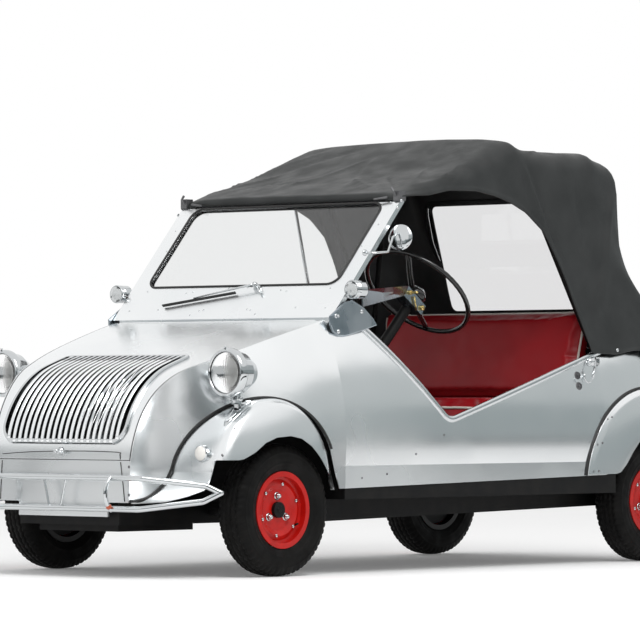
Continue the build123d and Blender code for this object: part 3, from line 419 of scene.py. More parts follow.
class Shape:
    """Vertices and faces gathered from several simple forms."""

    def __init__(self):
        self.verts = []
        self.faces = []

    def add(self, verts, faces):
        base = len(self.verts)
        self.verts += [Vector(v) for v in verts]
        self.faces += [tuple(base + i for i in f) for f in faces]
        return self

    def lathe(self, profile, centre, axis, steps=48, closed=False):
        """Turned form: profile of (along, radius) about an axis through centre."""
        axis = Vector(axis).normalized()
        side = axis.orthogonal().normalized()
        other = axis.cross(side)
        centre = Vector(centre)
        verts, faces = [], []
        n = len(profile)
        for i in range(steps):
            a = 2 * pi * i / steps
            out = side * cos(a) + other * sin(a)
            verts += [centre + axis * d + out * r for d, r in profile]
        last = n if closed else n - 1
        for i in range(steps):
            j = (i + 1) % steps
            for k in range(last):
                m = (k + 1) % n
                faces.append((i * n + k, j * n + k, j * n + m, i * n + m))
        return self.add(verts, faces)

    def tube(self, points, radius, sides=12, closed=False, flat=1.0, up=None):
        """Round or flattened bar along a run of points."""
        points = [Vector(p) for p in points]
        n = len(points)
        verts, faces = [], []
        normal = None
        for i, p in enumerate(points):
            before = points[i - 1] if (i or closed) else p
            after = points[(i + 1) % n] if (i < n - 1 or closed) else p
            heading = (after - before).normalized()
            if up is not None:
                normal = Vector(up) - heading * Vector(up).dot(heading)
            elif normal is None:
                normal = heading.orthogonal()
            else:
                normal = normal - heading * normal.dot(heading)
            normal.normalize()
            other = heading.cross(normal)
            r = radius[i] if isinstance(radius, (list, tuple)) else radius
            for k in range(sides):
                a = 2 * pi * k / sides
                verts.append(p + normal * (r * flat * cos(a)) + other * (r * sin(a)))
        rings = n if closed else n - 1
        for i in range(rings):
            j = (i + 1) % n
            for k in range(sides):
                m = (k + 1) % sides
                faces.append((i * sides + k, i * sides + m, j * sides + m, j * sides + k))
        if not closed:
            faces.append(tuple(range(sides - 1, -1, -1)))
            faces.append(tuple((n - 1) * sides + k for k in range(sides)))
        return self.add(verts, faces)

    def dome(self, at, normal, radius, height, steps=12, rings=4):
        """Rivet or bolt head."""
        profile = [(height * sin(radians(90 * i / rings)), radius * cos(radians(90 * i / rings)))
                   for i in range(rings)] + [(height, radius * 0.02)]
        return self.lathe([(-0.0005, radius)] + profile, at, normal, steps)

    def prism(self, at, normal, radius, height, sides=6, taper=0.9):
        """Nut or stud with flat sides and a chamfered top."""
        return self.lathe([(-0.0005, radius), (height * 0.8, radius), (height, radius * taper),
                           (height, 0.0003)], at, normal, sides)

    def box(self, low, high):
        x0, y0, z0 = low
        x1, y1, z1 = high
        corners = [(x, y, z) for x in (x0, x1) for y in (y0, y1) for z in (z0, z1)]
        faces = [(0, 1, 3, 2), (4, 6, 7, 5), (0, 4, 5, 1), (2, 3, 7, 6), (0, 2, 6, 4), (1, 5, 7, 3)]
        return self.add(corners, faces)

    def mirrored(self):
        """Adds the same form on the other side of the car."""
        base = len(self.verts)
        self.verts += [Vector((-v.x, v.y, v.z)) for v in self.verts[:base]]
        self.faces += [tuple(base + i for i in reversed(f)) for f in self.faces]
        return self

    def make(self, name, finish, body, smooth=True, stand_for=()):
        return piece(name, self.verts, self.faces, finish, body, smooth, stand_for)


SURFACES = {}


def cast(node, origin, direction):
    """Point and outward normal where a line from outside meets a solid."""
    if node not in SURFACES:
        mesh = NODES[node].data
        SURFACES[node] = BVHTree.FromPolygons([v.co.copy() for v in mesh.vertices],
                                              [tuple(p.vertices) for p in mesh.polygons])
    at, normal, _, _ = SURFACES[node].ray_cast(Vector(origin), Vector(direction).normalized())
    if at is None:
        return None, None
    if normal.dot(Vector(direction)) > 0:
        normal = -normal
    return at, normal


def screen_point(x, up, lift=0.0):
    """Point on the face of the windscreen, measured across and up its slope."""
    slope = Vector((0, SCREEN_HEAD[0] - SCREEN_FOOT[0], SCREEN_HEAD[1] - SCREEN_FOOT[1])).normalized()
    out = Vector((1, 0, 0)).cross(slope)
    return Vector((x, *SCREEN_FOOT)) + slope * up + out * lift


def groove(value, width):
    """Depth profile of a rounded groove: 1 in its middle, 0 beyond its width."""
    t = abs(value) / width
    return 0.0 if t >= 1 else (1 - t * t)


TYRE_STEPS = 288
TREAD_PITCHES = 60


def tread_depth(x, angle):
    """How far the tread is cut below its crown at a place across the tyre."""
    wave = 0.0026 * (2 / pi) * math.asin(sin(angle * TREAD_PITCHES))
    depth = 0.0
    for middle in (-0.027, -0.0095, 0.0095, 0.027):
        depth = max(depth, 0.0052 * min(1.0, 1.6 * groove(x - middle - wave, 0.0034)))
    if abs(x) > 0.030:
        phase = (angle * TREAD_PITCHES / (2 * pi) + (0.5 if x > 0 else 0.0)) % 1.0
        depth = max(depth, 0.0036 * min(1.0, 2.4 * groove(phase - 0.5, 0.20)))
    elif abs(x) > 0.0:
        phase = (angle * TREAD_PITCHES / (2 * pi) + x * 22) % 1.0
        depth = max(depth, 0.0022 * min(1.0, 1.5 * groove(phase - 0.5, 0.09)))
    return depth


def tyre_profile():
    """Half-section of the tyre from one bead over the crown to the other: across, radius, tread share."""
    h = TYRE_W / 2
    side = [(0.0385, 0.1165, 0), (0.0425, 0.122, 0), (0.0470, 0.131, 0), (0.0497, 0.139, 0),
            (0.0503, 0.1395, 0),
            (0.0507, 0.1415, 0), (0.0503, 0.1435, 0), (0.0515, 0.149, 0), (0.0522, 0.157, 0),
            (0.0520, 0.165, 0),
            (0.0514, 0.171, 0), (0.0519, 0.1722, 0), (0.0513, 0.1734, 0), (0.0499, 0.178, 0.2),
            (0.0478, 0.184, 0.9), (0.0448, 0.1895, 1), (0.0405, 0.1938, 1), (0.0360, 0.1966, 1)]
    crown = [(x * MM, 0.1999 - 0.0033 * (x / 36) ** 2, 1) for x in range(34, -35, -2)]
    profile = side + crown + [(-x, r, t) for x, r, t in reversed(side)]
    return [(min(h, max(-h, x)), r, t) for x, r, t in profile]


def make_tyres():
    profile = tyre_profile()
    n = len(profile)
    for end, y in (("front", FRONT_AXLE_Y), ("rear", REAR_AXLE_Y)):
        for side, s in (("left", 1), ("right", -1)):
            verts, faces = [], []
            for i in range(TYRE_STEPS):
                a = 2 * pi * i / TYRE_STEPS
                for x, r, share in profile:
                    deep = r - share * tread_depth(x, a)
                    verts.append((s * WHEEL_X + x, y + deep * cos(a), TYRE_R + deep * sin(a)))
            for i in range(TYRE_STEPS):
                j = (i + 1) % TYRE_STEPS
                for k in range(n - 1):
                    faces.append((i * n + k, i * n + k + 1, j * n + k + 1, j * n + k))
            piece(f"tyre_{end}_{side}_tread", verts, faces, "tyre", f"wheel_{end}_{side}",
                  stand_for=(f"tyre_{end}_{side}",))


def make_wheel_fittings():
    """Nuts, rim bolts, valve and the dark hub in each wheel."""
    for end, y in (("front", FRONT_AXLE_Y), ("rear", REAR_AXLE_Y)):
        for side, s in (("left", 1), ("right", -1)):
            body = f"wheel_{end}_{side}"
            face_x = s * (WHEEL_X + DISC_OUT)
            out = (s, 0, 0)
            bright = Shape()
            for i in range(3):
                a = radians(90 + 120 * i)
                at = (face_x, y + NUT_CIRCLE_R * cos(a), TYRE_R + NUT_CIRCLE_R * sin(a))
                bright.lathe([(-0.001, 0.0125), (0.002, 0.0125), (0.003, 0.0098)], at, out, 24)
                bright.prism(at, out, 0.0097, 0.0105)
                bright.dome((at[0] + s * 0.0100, at[1], at[2]), out, 0.0075, 0.006)
            for i in range(6):
                a = radians(60 * i + 20)
                at = (s * (WHEEL_X + 0.0245), y + 0.0785 * cos(a), TYRE_R + 0.0785 * sin(a))
                bright.prism(at, out, 0.0058, 0.005)
            bright.make(f"wheel_nuts_{end}_{side}", "chrome", body)
            dark = Shape()
            dark.lathe([(0.0, 0.0235), (0.006, 0.0235), (0.008, 0.019), (0.004, 0.017), (0.004, 0.009),
                        (0.012, 0.009), (0.014, 0.006), (0.014, 0.0003)], (face_x, y, TYRE_R), out, 32)
            a = radians(-32)
            foot = Vector((face_x + s * 0.004, y + 0.088 * cos(a), TYRE_R + 0.088 * sin(a)))
            dark.tube([foot, foot + Vector((s * 0.018, -0.008 * cos(a), -0.008 * sin(a)))], 0.0032, 10)
            dark.make(f"hub_{end}_{side}", "black", body)


def smooth_curve(points, step=0.01):
    """Points closely spaced along a smooth curve through the given ones."""
    points = [Vector(p) for p in points]
    padded = [2 * points[0] - points[1]] + points + [2 * points[-1] - points[-2]]
    out = []
    for i in range(1, len(padded) - 2):
        a, b, c, d = padded[i - 1:i + 3]
        count = max(2, int((c - b).length / step))
        for k in range(count):
            t = k / count
            out.append(0.5 * ((2 * b) + (c - a) * t + (2 * a - 5 * b + 4 * c - d) * t * t
                              + (3 * b - a - 3 * c + d) * t ** 3))
    return out + [points[-1]]


def bevelled(points, radius, steps=5):
    """Run of points with its inner corners rounded."""
    points = [Vector(p) for p in points]
    out = [points[0]]
    for a, b, c in zip(points, points[1:], points[2:]):
        back, on = (a - b), (c - b)
        reach = min(radius, back.length * 0.45, on.length * 0.45)
        start, end = b + back.normalized() * reach, b + on.normalized() * reach
        for k in range(steps + 1):
            t = k / steps
            out.append((1 - t) ** 2 * start + 2 * t * (1 - t) * b + t * t * end)
    return out + [points[-1]]


def divided(points, step):
    """Straight runs cut into short lengths."""
    out = [Vector(points[0])]
    for a, b in zip(points, points[1:]):
        a, b = Vector(a), Vector(b)
        count = max(1, int((b - a).length / step))
        out += [a + (b - a) * (k + 1) / count for k in range(count)]
    return out


def wing_bead():
    """Black rubber strip where each front wing meets the cheek."""
    path = []
    toe = [(-1.214, 0.2295), (-1.180, 0.2315), (-1.150, 0.237), (-1.128, 0.249), (-1.108, 0.268),
           (-1.092, 0.290)]
    line = toe + [(WING_C[0] + (WING_R + 0.003) * cos(radians(a)),
                   WING_C[1] + (WING_R + 0.003) * sin(radians(a)))
                  for a in range(172, 20, -6)]
    for y, z in line:
        at, normal = cast("body_side_left", (0.8, y, z), (-1, 0, 0))
        if at is not None:
            path.append(at + normal * 0.0015)
    Shape().tube(smooth_curve(path), 0.0042, 8).mirrored().make("wing_beading", "bead", "car")


def rear_wing_bead():
    """Black rubber strip round the front and top of each rear wing."""
    path = []
    for a in range(172, 18, -4):
        y = REAR_WING_C[0] + (REAR_WING_R + 0.002) * cos(radians(a))
        z = REAR_WING_C[1] + (REAR_WING_R + 0.002) * sin(radians(a))
        at, normal = cast("body_side_left", (0.8, y, z), (-1, 0, 0))
        if at is not None:
            path.append(at + normal * 0.002)
    Shape().tube(smooth_curve(path), 0.0045, 8).mirrored().make("rear_wing_beading", "bead", "car")


def door_trim():
    """Bright folded edge round the low-cut entry on each side."""
    run = bevelled([(0, *DOOR_TOP), (0, *DOOR_LOW), (0, *DOOR_BACK)], 0.03, 8)
    run = divided(run, 0.02)
    path = []
    for p in run:
        at, _ = cast("body_side_left", (0.8, p.y, p.z - 0.012), (-1, 0, 0))
        if at is not None:
            path.append((at.x - 0.0015, p.y, p.z + 0.001))
    Shape().tube(path, 0.0105, 12, flat=0.55, up=(1, 0, 0)).mirrored().make("entry_trim", "trim", "car")


HOOD_AXIS = (0.62, 0.55)
HOOD_ROWS = 118
HOOD_COLUMNS = 190
CLOTH_T = 0.0026
HEM_Y = -0.2235
HEM_Z = 1.150
PANE = dict(half=0.372, low=0.826, high=1.186)


def hood_direction(turn):
    """Direction of one fan plane of the soft top; 0 points up and positive turns towards the tail."""
    return Vector((0, sin(turn), cos(turn)))


def hood_row(turn):
    """Half of one cross-line of the soft top, from its side edge to the middle, found on the solid."""
    foot = Vector((0, *HOOD_AXIS))
    way = hood_direction(turn)
    top, _ = cast("hood", foot + way * 2.0, -way)
    if top is None:
        return None
    reach = (top - foot).length
    low, high = 0.02, reach - 0.012
    for _ in range(18):
        middle = (low + high) / 2
        at, _ = cast("hood", foot + way * middle + Vector((1.0, 0, 0)), (-1, 0, 0))
        if at is not None and at.x > 0.3:
            high = middle
        else:
            low = middle
    centre = foot + way * max(high, reach - 0.30)
    edge, _ = cast("hood", foot + way * (high + 0.0005) + Vector((1.0, 0, 0)), (-1, 0, 0))
    line = [edge]
    count = 6
    for k in range(1, count + 1):
        share = high + (max(high, reach - 0.30) - high) * k / count
        at, _ = cast("hood", foot + way * share + Vector((1, 0, 0)), (-1, 0, 0))
        if at is not None and at.x > 0.3 and (at - line[-1]).length > 0.002:
            line.append(at)
    for k in range(2, 89, 2):
        spread = radians(k)
        out = Vector((cos(spread), 0, 0)) + way * sin(spread)
        at, _ = cast("hood", centre + out * 1.6, -out)
        if at is not None and (at - line[-1]).length > 0.002:
            line.append(at)
    line.append(Vector((0, top.y, top.z)))
    return line


def respaced(line, count):
    """The same run with evenly spaced points."""
    spans = [0.0]
    for a, b in zip(line, line[1:]):
        spans.append(spans[-1] + (b - a).length)
    out, k = [], 0
    for i in range(count):
        want = spans[-1] * i / (count - 1)
        while k < len(spans) - 2 and spans[k + 1] < want:
            k += 1
        share = (want - spans[k]) / max(1e-9, spans[k + 1] - spans[k])
        out.append(line[k].lerp(line[k + 1], min(1.0, max(0.0, share))))
    return out


def bell(value, middle, width):
    """Soft hump: 1 at its middle, fading to nothing."""
    return math.exp(-((value - middle) / width) ** 2)


def fold_line(p, start, end, width, depth):
    """Height of one long soft fold that runs from start to end in the side view, fading at its ends."""
    sy, sz = start
    ey, ez = end
    run = math.hypot(ey - sy, ez - sz)
    along = ((p.y - sy) * (ey - sy) + (p.z - sz) * (ez - sz)) / run
    across = ((p.y - sy) * (ez - sz) - (p.z - sz) * (ey - sy)) / run
    share = along / run
    fade = max(0.0, min(1.0, share * 5, (1 - share) * 2.5))
    fade = fade * fade * (3 - 2 * fade)
    spread = width * (0.55 + 0.9 * min(1.0, max(0.0, share)))
    return depth * fade * bell(across, 0.0, spread)


SIDE_FOLDS = [
    ((0.36, 1.33), (0.60, 0.80), 0.014, 0.009), ((0.40, 1.32), (0.63, 0.78), 0.012, -0.006),
    ((0.84, 1.24), (0.70, 0.72), 0.016, 0.008), ((0.86, 1.20), (0.76, 0.70), 0.012, -0.007),
    ((0.84, 1.22), (0.84, 0.72), 0.014, 0.007), ((0.88, 1.10), (0.93, 0.70), 0.012, -0.006),
    ((0.90, 1.08), (1.00, 0.69), 0.013, 0.007), ((0.62, 1.28), (0.70, 0.90), 0.022, -0.004),
    ((0.92, 0.98), (0.80, 0.69), 0.013, 0.005), ((0.70, 0.86), (0.72, 0.67), 0.012, 0.005),
]
TOP_FOLDS = [
    ((0.10, 0.30), (-0.17, 0.47), 0.012, 0.006), ((0.02, 0.20), (-0.20, 0.44), 0.010, -0.005),
    ((-0.02, 0.08), (-0.21, 0.38), 0.012, 0.006), ((0.14, 0.42), (-0.10, 0.49), 0.010, 0.005),
    ((0.30, 0.10), (0.04, 0.44), 0.018, -0.005), ((0.28, 0.26), (0.10, 0.47), 0.012, 0.004),
    ((0.20, 0.00), (-0.20, 0.20), 0.016, 0.004), ((0.45, 0.30), (0.66, 0.44), 0.018, 0.004),
    ((0.40, 0.05), (0.70, 0.30), 0.022, -0.004), ((0.52, 0.40), (0.38, 0.46), 0.012, 0.005),
]


def hood_relief(p, up_share):
    """How far the cloth stands off the plain form at a place: ridges over bows, sags, folds and gathers."""
    across = abs(p.x)
    ridge = 0.004 * bell(p.y, 0.359, 0.020) + 0.004 * bell(p.y, 0.739, 0.020)
    sag = -0.006 * (bell(p.y, 0.55, 0.11) + bell(p.y, 0.06, 0.16)) * max(0.0, 1 - (across / 0.46) ** 2)
    lift = (ridge + sag) * up_share
    side = 1 - up_share
    if across > 0.25:
        lift += side * sum(fold_line(p, *fold) for fold in SIDE_FOLDS)
    flat = Vector((p.x, p.y, across))
    lift += up_share * sum(fold_line(flat, *fold) for fold in TOP_FOLDS) * (1.0 if p.x > 0 else 0.8)
    gather = 0.0045 * sin(p.y * 420) * bell(p.y, 0.03, 0.05) * bell(across, 0.462, 0.03)
    lift += gather
    slow = noise.noise(Vector((p.x * 3.1, p.y * 3.7, p.z * 3.3))) * 0.006
    quick = noise.noise(Vector((p.x * 11 + 4, p.y * 12, p.z * 9))) * 0.0018
    return lift + slow + quick


def make_hood():
    """The soft top: one stretched cloth laid over its two bows, with a seamed edge and a clear pane."""
    rows = []
    for i in range(HOOD_ROWS):
        turn = radians(-53.6 + (77.6 + 53.6) * i / (HOOD_ROWS - 1))
        line = hood_row(turn)
        if line is not None and len(line) > 6:
            half = respaced(line, HOOD_COLUMNS // 2 + 1)
            rows.append(half + [Vector((-p.x, p.y, p.z)) for p in reversed(half[:-1])])
    count, wide = len(rows), len(rows[0])
    for _ in range(3):
        fresh = [list(row) for row in rows]
        for i in range(1, count - 1):
            for k in range(2, wide - 2):
                mean = (rows[i - 1][k] + rows[i + 1][k] + rows[i][k - 1] + rows[i][k + 1]) / 4
                fresh[i][k] = rows[i][k].lerp(mean, 0.5)
        rows = fresh
    hem = []
    for p in rows[0]:
        share = max(0.0, min(1.0, (0.476 - abs(p.x)) / 0.03))
        hem.append(Vector((p.x, p.y - 0.001, p.z)).lerp(Vector((p.x, HEM_Y, HEM_Z)), share))
    rows.insert(0, hem)
    count += 1
    normals = []
    for i in range(count):
        line = []
        for k in range(wide):
            a = rows[max(0, i - 1)][k] - rows[min(count - 1, i + 1)][k]
            b = rows[i][max(0, k - 1)] - rows[i][min(wide - 1, k + 1)]
            line.append(b.cross(a).normalized())
        normals.append(line)
    centre = Vector((0, 0.4, 0.9))
    if normals[count // 2][wide // 2].dot(rows[count // 2][wide // 2] - centre) < 0:
        normals = [[-n for n in line] for line in normals]
    outer, inner = [], []
    for i in range(count):
        for k in range(wide):
            p, n = rows[i][k], normals[i][k]
            hem = min(1.0, min(k, wide - 1 - k) / 9, min(i + 3, count + 3 - i) / 9)
            lift = hood_relief(p, max(0.0, min(1.0, n.z * 1.25))) * hem
            pane = (abs(p.x) < PANE["half"] + 0.05 and PANE["low"] - 0.05 < p.z < PANE["high"] + 0.05
                    and p.y > 0.8)
            lift = 0.0 if pane else lift
            edge_roll = 0.0022 * max(0.0, 1 - abs(min(k, wide - 1 - k) - 1.5) / 2.5)
            outer.append(p + n * (lift + edge_roll - 0.001))
            inner.append(p + n * (lift - 0.001 - CLOTH_T))
    verts = outer + inner
    base = count * wide
    faces = []
    for i in range(count - 1):
        for k in range(wide - 1):
            a, b, c, d = i * wide + k, i * wide + k + 1, (i + 1) * wide + k + 1, (i + 1) * wide + k
            faces.append((a, b, c, d))
            faces.append((base + d, base + c, base + b, base + a))
    rim = [k for k in range(wide)] + [i * wide + wide - 1 for i in range(1, count)]
    rim += [(count - 1) * wide + k for k in range(wide - 2, -1, -1)]
    rim += [i * wide for i in range(count - 2, 0, -1)]
    for a, b in zip(rim, rim[1:] + rim[:1]):
        faces.append((b, a, base + a, base + b))
    hood = piece("soft_top", verts, faces, "cloth", "car", stand_for=("hood",))
    cut_pane_hole(hood)
    return hood


def rounded_box_ring(half, low, high, corner, y, steps=6):
    """Corner points of a rounded window outline at one depth."""
    out = []
    for cx, cz, start in ((half - corner, high - corner, 0), (corner - half, high - corner, 90),
                          (corner - half, low + corner, 180), (half - corner, low + corner, 270)):
        for k in range(steps + 1):
            a = radians(start + 90 * k / steps)
            out.append(Vector((cx + corner * cos(a), y, cz + corner * sin(a))))
    return out


def cut_pane_hole(hood):
    """Opens the cloth where the clear pane sits."""
    near = rounded_box_ring(PANE["half"] - 0.004, PANE["low"] + 0.004, PANE["high"] - 0.004, 0.02, 0.80)
    far = [Vector((p.x, 1.20, p.z)) for p in near]
    n = len(near)
    faces = [(i, (i + 1) % n, n + (i + 1) % n, n + i) for i in range(n)]
    faces += [tuple(range(n - 1, -1, -1)), tuple(range(n, 2 * n))]
    mesh = bpy.data.meshes.new("pane hole")
    mesh.from_pydata([tuple(v) for v in near + far], [], faces)
    cutter = bpy.data.objects.new("pane_hole", mesh)
    bpy.context.scene.collection.objects.link(cutter)
    for shape in (hood, cutter):
        turn_outwards(shape)
    cut = hood.modifiers.new("pane hole", "BOOLEAN")
    cut.operation = "DIFFERENCE"
    cut.object = cutter
    cut.solver = "EXACT"
    settle(hood)
    bpy.data.objects.remove(cutter)


def turn_outwards(shape):
    """Makes every face of a closed mesh look outwards."""
    form = bmesh.new()
    form.from_mesh(shape.data)
    bmesh.ops.recalc_face_normals(form, faces=form.faces)
    form.to_mesh(shape.data)
    form.free()


def settle(shape):
    """Turns an object's modifiers into plain mesh."""
    graph = bpy.context.evaluated_depsgraph_get()
    fixed = bpy.data.meshes.new_from_object(shape.evaluated_get(graph))
    shape.modifiers.clear()
    old = shape.data
    shape.data = fixed
    bpy.data.meshes.remove(old)


def pane_binding():
    """Stitched strip that holds the pane in the cloth."""
    ring = rounded_box_ring(PANE["half"] + 0.002, PANE["low"] - 0.002, PANE["high"] + 0.002, 0.024, 0.0, 5)
    closed = divided(ring + ring[:1], 0.012)[:-1]
    path = []
    for p in closed:
        at, _ = cast("hood", (p.x * 1.03, 1.6, p.z + 0.004 * (1 if p.z > 1.0 else -1)), (0, -1, 0))
        if at is not None:
            path.append(at + Vector((0, 0.001, 0)))
    Shape().tube(path, 0.009, 8, closed=True, flat=0.22, up=(0, 1, 0)).make("pane_binding", "cloth", "car")


def soften(shape, pressure, cap, voxel=0.009, frames=18):
    """Blows a closed pad up a little in a cloth simulation, so its faces swell and its edges pull tight."""
    remesh = shape.modifiers.new("even", "REMESH")
    remesh.mode = "VOXEL"
    remesh.voxel_size = voxel
    settle(shape)
    before = [v.co.copy() for v in shape.data.vertices]
    cloth = shape.modifiers.new("fill", "CLOTH")
    cloth.settings.quality = 4
    cloth.settings.mass = 0.4
    cloth.settings.tension_stiffness = 40
    cloth.settings.compression_stiffness = 10
    cloth.settings.shear_stiffness = 10
    cloth.settings.bending_stiffness = 2.0
    cloth.settings.use_pressure = True
    cloth.settings.uniform_pressure_force = pressure
    cloth.settings.effector_weights.gravity = 0.0
    cloth.collision_settings.use_collision = False
    scene = bpy.context.scene
    scene.frame_start, scene.frame_end = 1, frames
    cloth.point_cache.frame_start, cloth.point_cache.frame_end = 1, frames
    for number in range(1, frames + 1):
        scene.frame_set(number)
    settle(shape)
    for vertex, old in zip(shape.data.vertices, before):
        move = vertex.co - old
        if move.length > cap:
            vertex.co = old + move.normalized() * cap
    scene.frame_set(1)


def slab(name, corners, half, round_over, finish, stand_for):
    """Closed pad with rounded ends from a side-view outline."""
    xs = [-half, -half + round_over * 0.35, -half + round_over, half - round_over, half - round_over * 0.35,
          half]
    shrink = [0.62, 0.90, 1.0, 1.0, 0.90, 0.62]
    line = divided(bevelled([(0, *c) for c in corners] + [(0, *corners[0])], 0.03, 5), 0.02)
    middle = sum(line, Vector()) / len(line)
    verts, faces = [], []
    n = len(line)
    for x, share in zip(xs, shrink):
        keep = 1 - (1 - share) * 0.16
        verts += [Vector((x, middle.y + (p.y - middle.y) * keep, middle.z + (p.z - middle.z) * keep))
                  for p in line]
    for i in range(len(xs) - 1):
        for k in range(n):
            m = (k + 1) % n
            faces.append((i * n + k, i * n + m, (i + 1) * n + m, (i + 1) * n + k))
    faces += [tuple(range(n - 1, -1, -1)), tuple((len(xs) - 1) * n + k for k in range(n))]
    return piece(name, verts, faces, finish, "car", stand_for=stand_for)


def seat_piping(shape, planes, radius, name):
    """Pale welt laid on a finished pad along straight lines, found by casting on the pad."""
    tree = BVHTree.FromPolygons([v.co.copy() for v in shape.data.vertices],
                                [tuple(p.vertices) for p in shape.data.polygons])
    welt = Shape()
    for points, towards in planes:
        path = []
        for p in divided(points, 0.02):
            way = Vector(towards).normalized()
            at, _, _, _ = tree.ray_cast(p - way * 0.4, way)
            if at is not None:
                path.append(at - way * (radius * 0.3))
        if len(path) > 2:
            welt.tube(smooth_curve(path, 0.012), radius, 8)
    return welt.make(name, "piping", "car")


def make_seat():
    """Bench seat: padded cushion and leaning back, each with a pale welt."""
    cushion = slab("seat_cushion_pad", [(0.221, 0.384), (0.694, 0.384), (0.690, 0.514), (0.221, 0.514)],
                   0.446, 0.03,
                   "vinyl", ("seat_cushion",))
    soften(cushion, 4.0, 0.022)
    back = slab("seat_back_pad", [(0.650, 0.517), (0.722, 0.517), (0.770, 0.831), (0.738, 0.831)], 0.446,
                0.03,
                "vinyl", ("seat_backrest",))
    soften(back, 4.0, 0.020)
    for pad in (cushion, back):
        for face in pad.data.polygons:
            face.use_smooth = True
    seat_piping(cushion, [([(-0.43, 0.235, 0.515), (0.43, 0.235, 0.515)], (0, 0.7, -0.7)),
                          ([(-0.438, 0.638, 0.53), (0.438, 0.638, 0.53)], (0, 0.0, -1.0))], 0.0045,
                          "cushion_welt")
    seat_piping(back, [([(-0.42, 0.73, 0.832), (0.42, 0.73, 0.832)], (0, 0.7, -0.7)),
                       ([(0.435, 0.66, 0.56), (0.435, 0.73, 0.825)], (-0.6, 0.8, 0)),
                       ([(-0.435, 0.66, 0.56), (-0.435, 0.73, 0.825)], (0.6, 0.8, 0))], 0.004,
                       "backrest_welt")


GLASS_LOW = 0.138
GLASS_HIGH = 0.478
GLASS_HALF = 0.408
GLASS_ROUND = 0.040
WHEEL_AT = (0.250, 0.110, 0.873)
WHEEL_TILT = 46.0
STEER_R = 0.181
STAY_HEAD = (-0.445, 0.280, 1.205)
STAY_FOOT = (-0.502, 0.490, 0.625)
STAY_R = 0.0055


def domed(node, centre, inner_r, outer_r, depth, from_x):
    """The solid's own sheet with its flat outer face drawn into a dome, as the pressed wing has."""
    form = bmesh.new()
    form.from_mesh(NODES[node].data)
    bmesh.ops.remove_doubles(form, verts=form.verts, dist=0.00002)
    bmesh.ops.triangulate(form, faces=form.faces)
    for _ in range(9):
        long = [e for e in form.edges if e.calc_length() > 0.013]
        if not long:
            break
        bmesh.ops.subdivide_edges(form, edges=long, cuts=1)
        bmesh.ops.triangulate(form, faces=[f for f in form.faces if len(f.verts) > 3])
    for vertex in form.verts:
        x = abs(vertex.co.x)
        reach = math.hypot(vertex.co.y - centre[0], vertex.co.z - centre[1])
        share = max(0.0, min(1.0, (reach - inner_r) / (outer_r - inner_r)))
        hold = max(0.0, min(1.0, (x - from_x) / 0.045))
        move = depth * share ** 1.5 * hold * hold * (3 - 2 * hold)
        vertex.co.x -= math.copysign(move, vertex.co.x)
    bmesh.ops.recalc_face_normals(form, faces=form.faces)
    mesh = bpy.data.meshes.new(node + "_domed")
    form.to_mesh(mesh)
    form.free()
    shape = bpy.data.objects.new(node + "_domed", mesh)
    bpy.context.scene.collection.objects.link(shape)
    for face in mesh.polygons:
        face.use_smooth = True
    sharpen(shape, 32)
    settle(shape)
    return dress(shape, "aluminium", "car", stand_for=(node,))


def make_wings():
    """Domed front and rear wings."""
    for side in ("left", "right"):
        domed(f"front_wing_{side}", WING_C, 0.120, WING_R, 0.036, 0.480)
        domed(f"rear_wing_{side}", REAR_WING_C, 0.190, REAR_WING_R, 0.026, 0.540)


def glass_seal():
    """Black rubber channel round the windscreen glass."""
    corner = GLASS_ROUND
    path = []
    for cx, cu, start in ((GLASS_HALF - corner, GLASS_HIGH - corner, 0),
                          (corner - GLASS_HALF, GLASS_HIGH - corner, 90),
                          (corner - GLASS_HALF, GLASS_LOW + corner, 180),
                          (GLASS_HALF - corner, GLASS_LOW + corner, 270)):
        for k in range(9):
            a = radians(start + 90 * k / 8)
            path.append((cx + corner * cos(a), cu + corner * sin(a)))
    seal = Shape()
    for lift in (0.0006, -0.0166):
        seal.tube([screen_point(x, up, lift) for x, up in path], 0.0038, 8, closed=True)
    seal.make("glass_seal", "bead", "car")


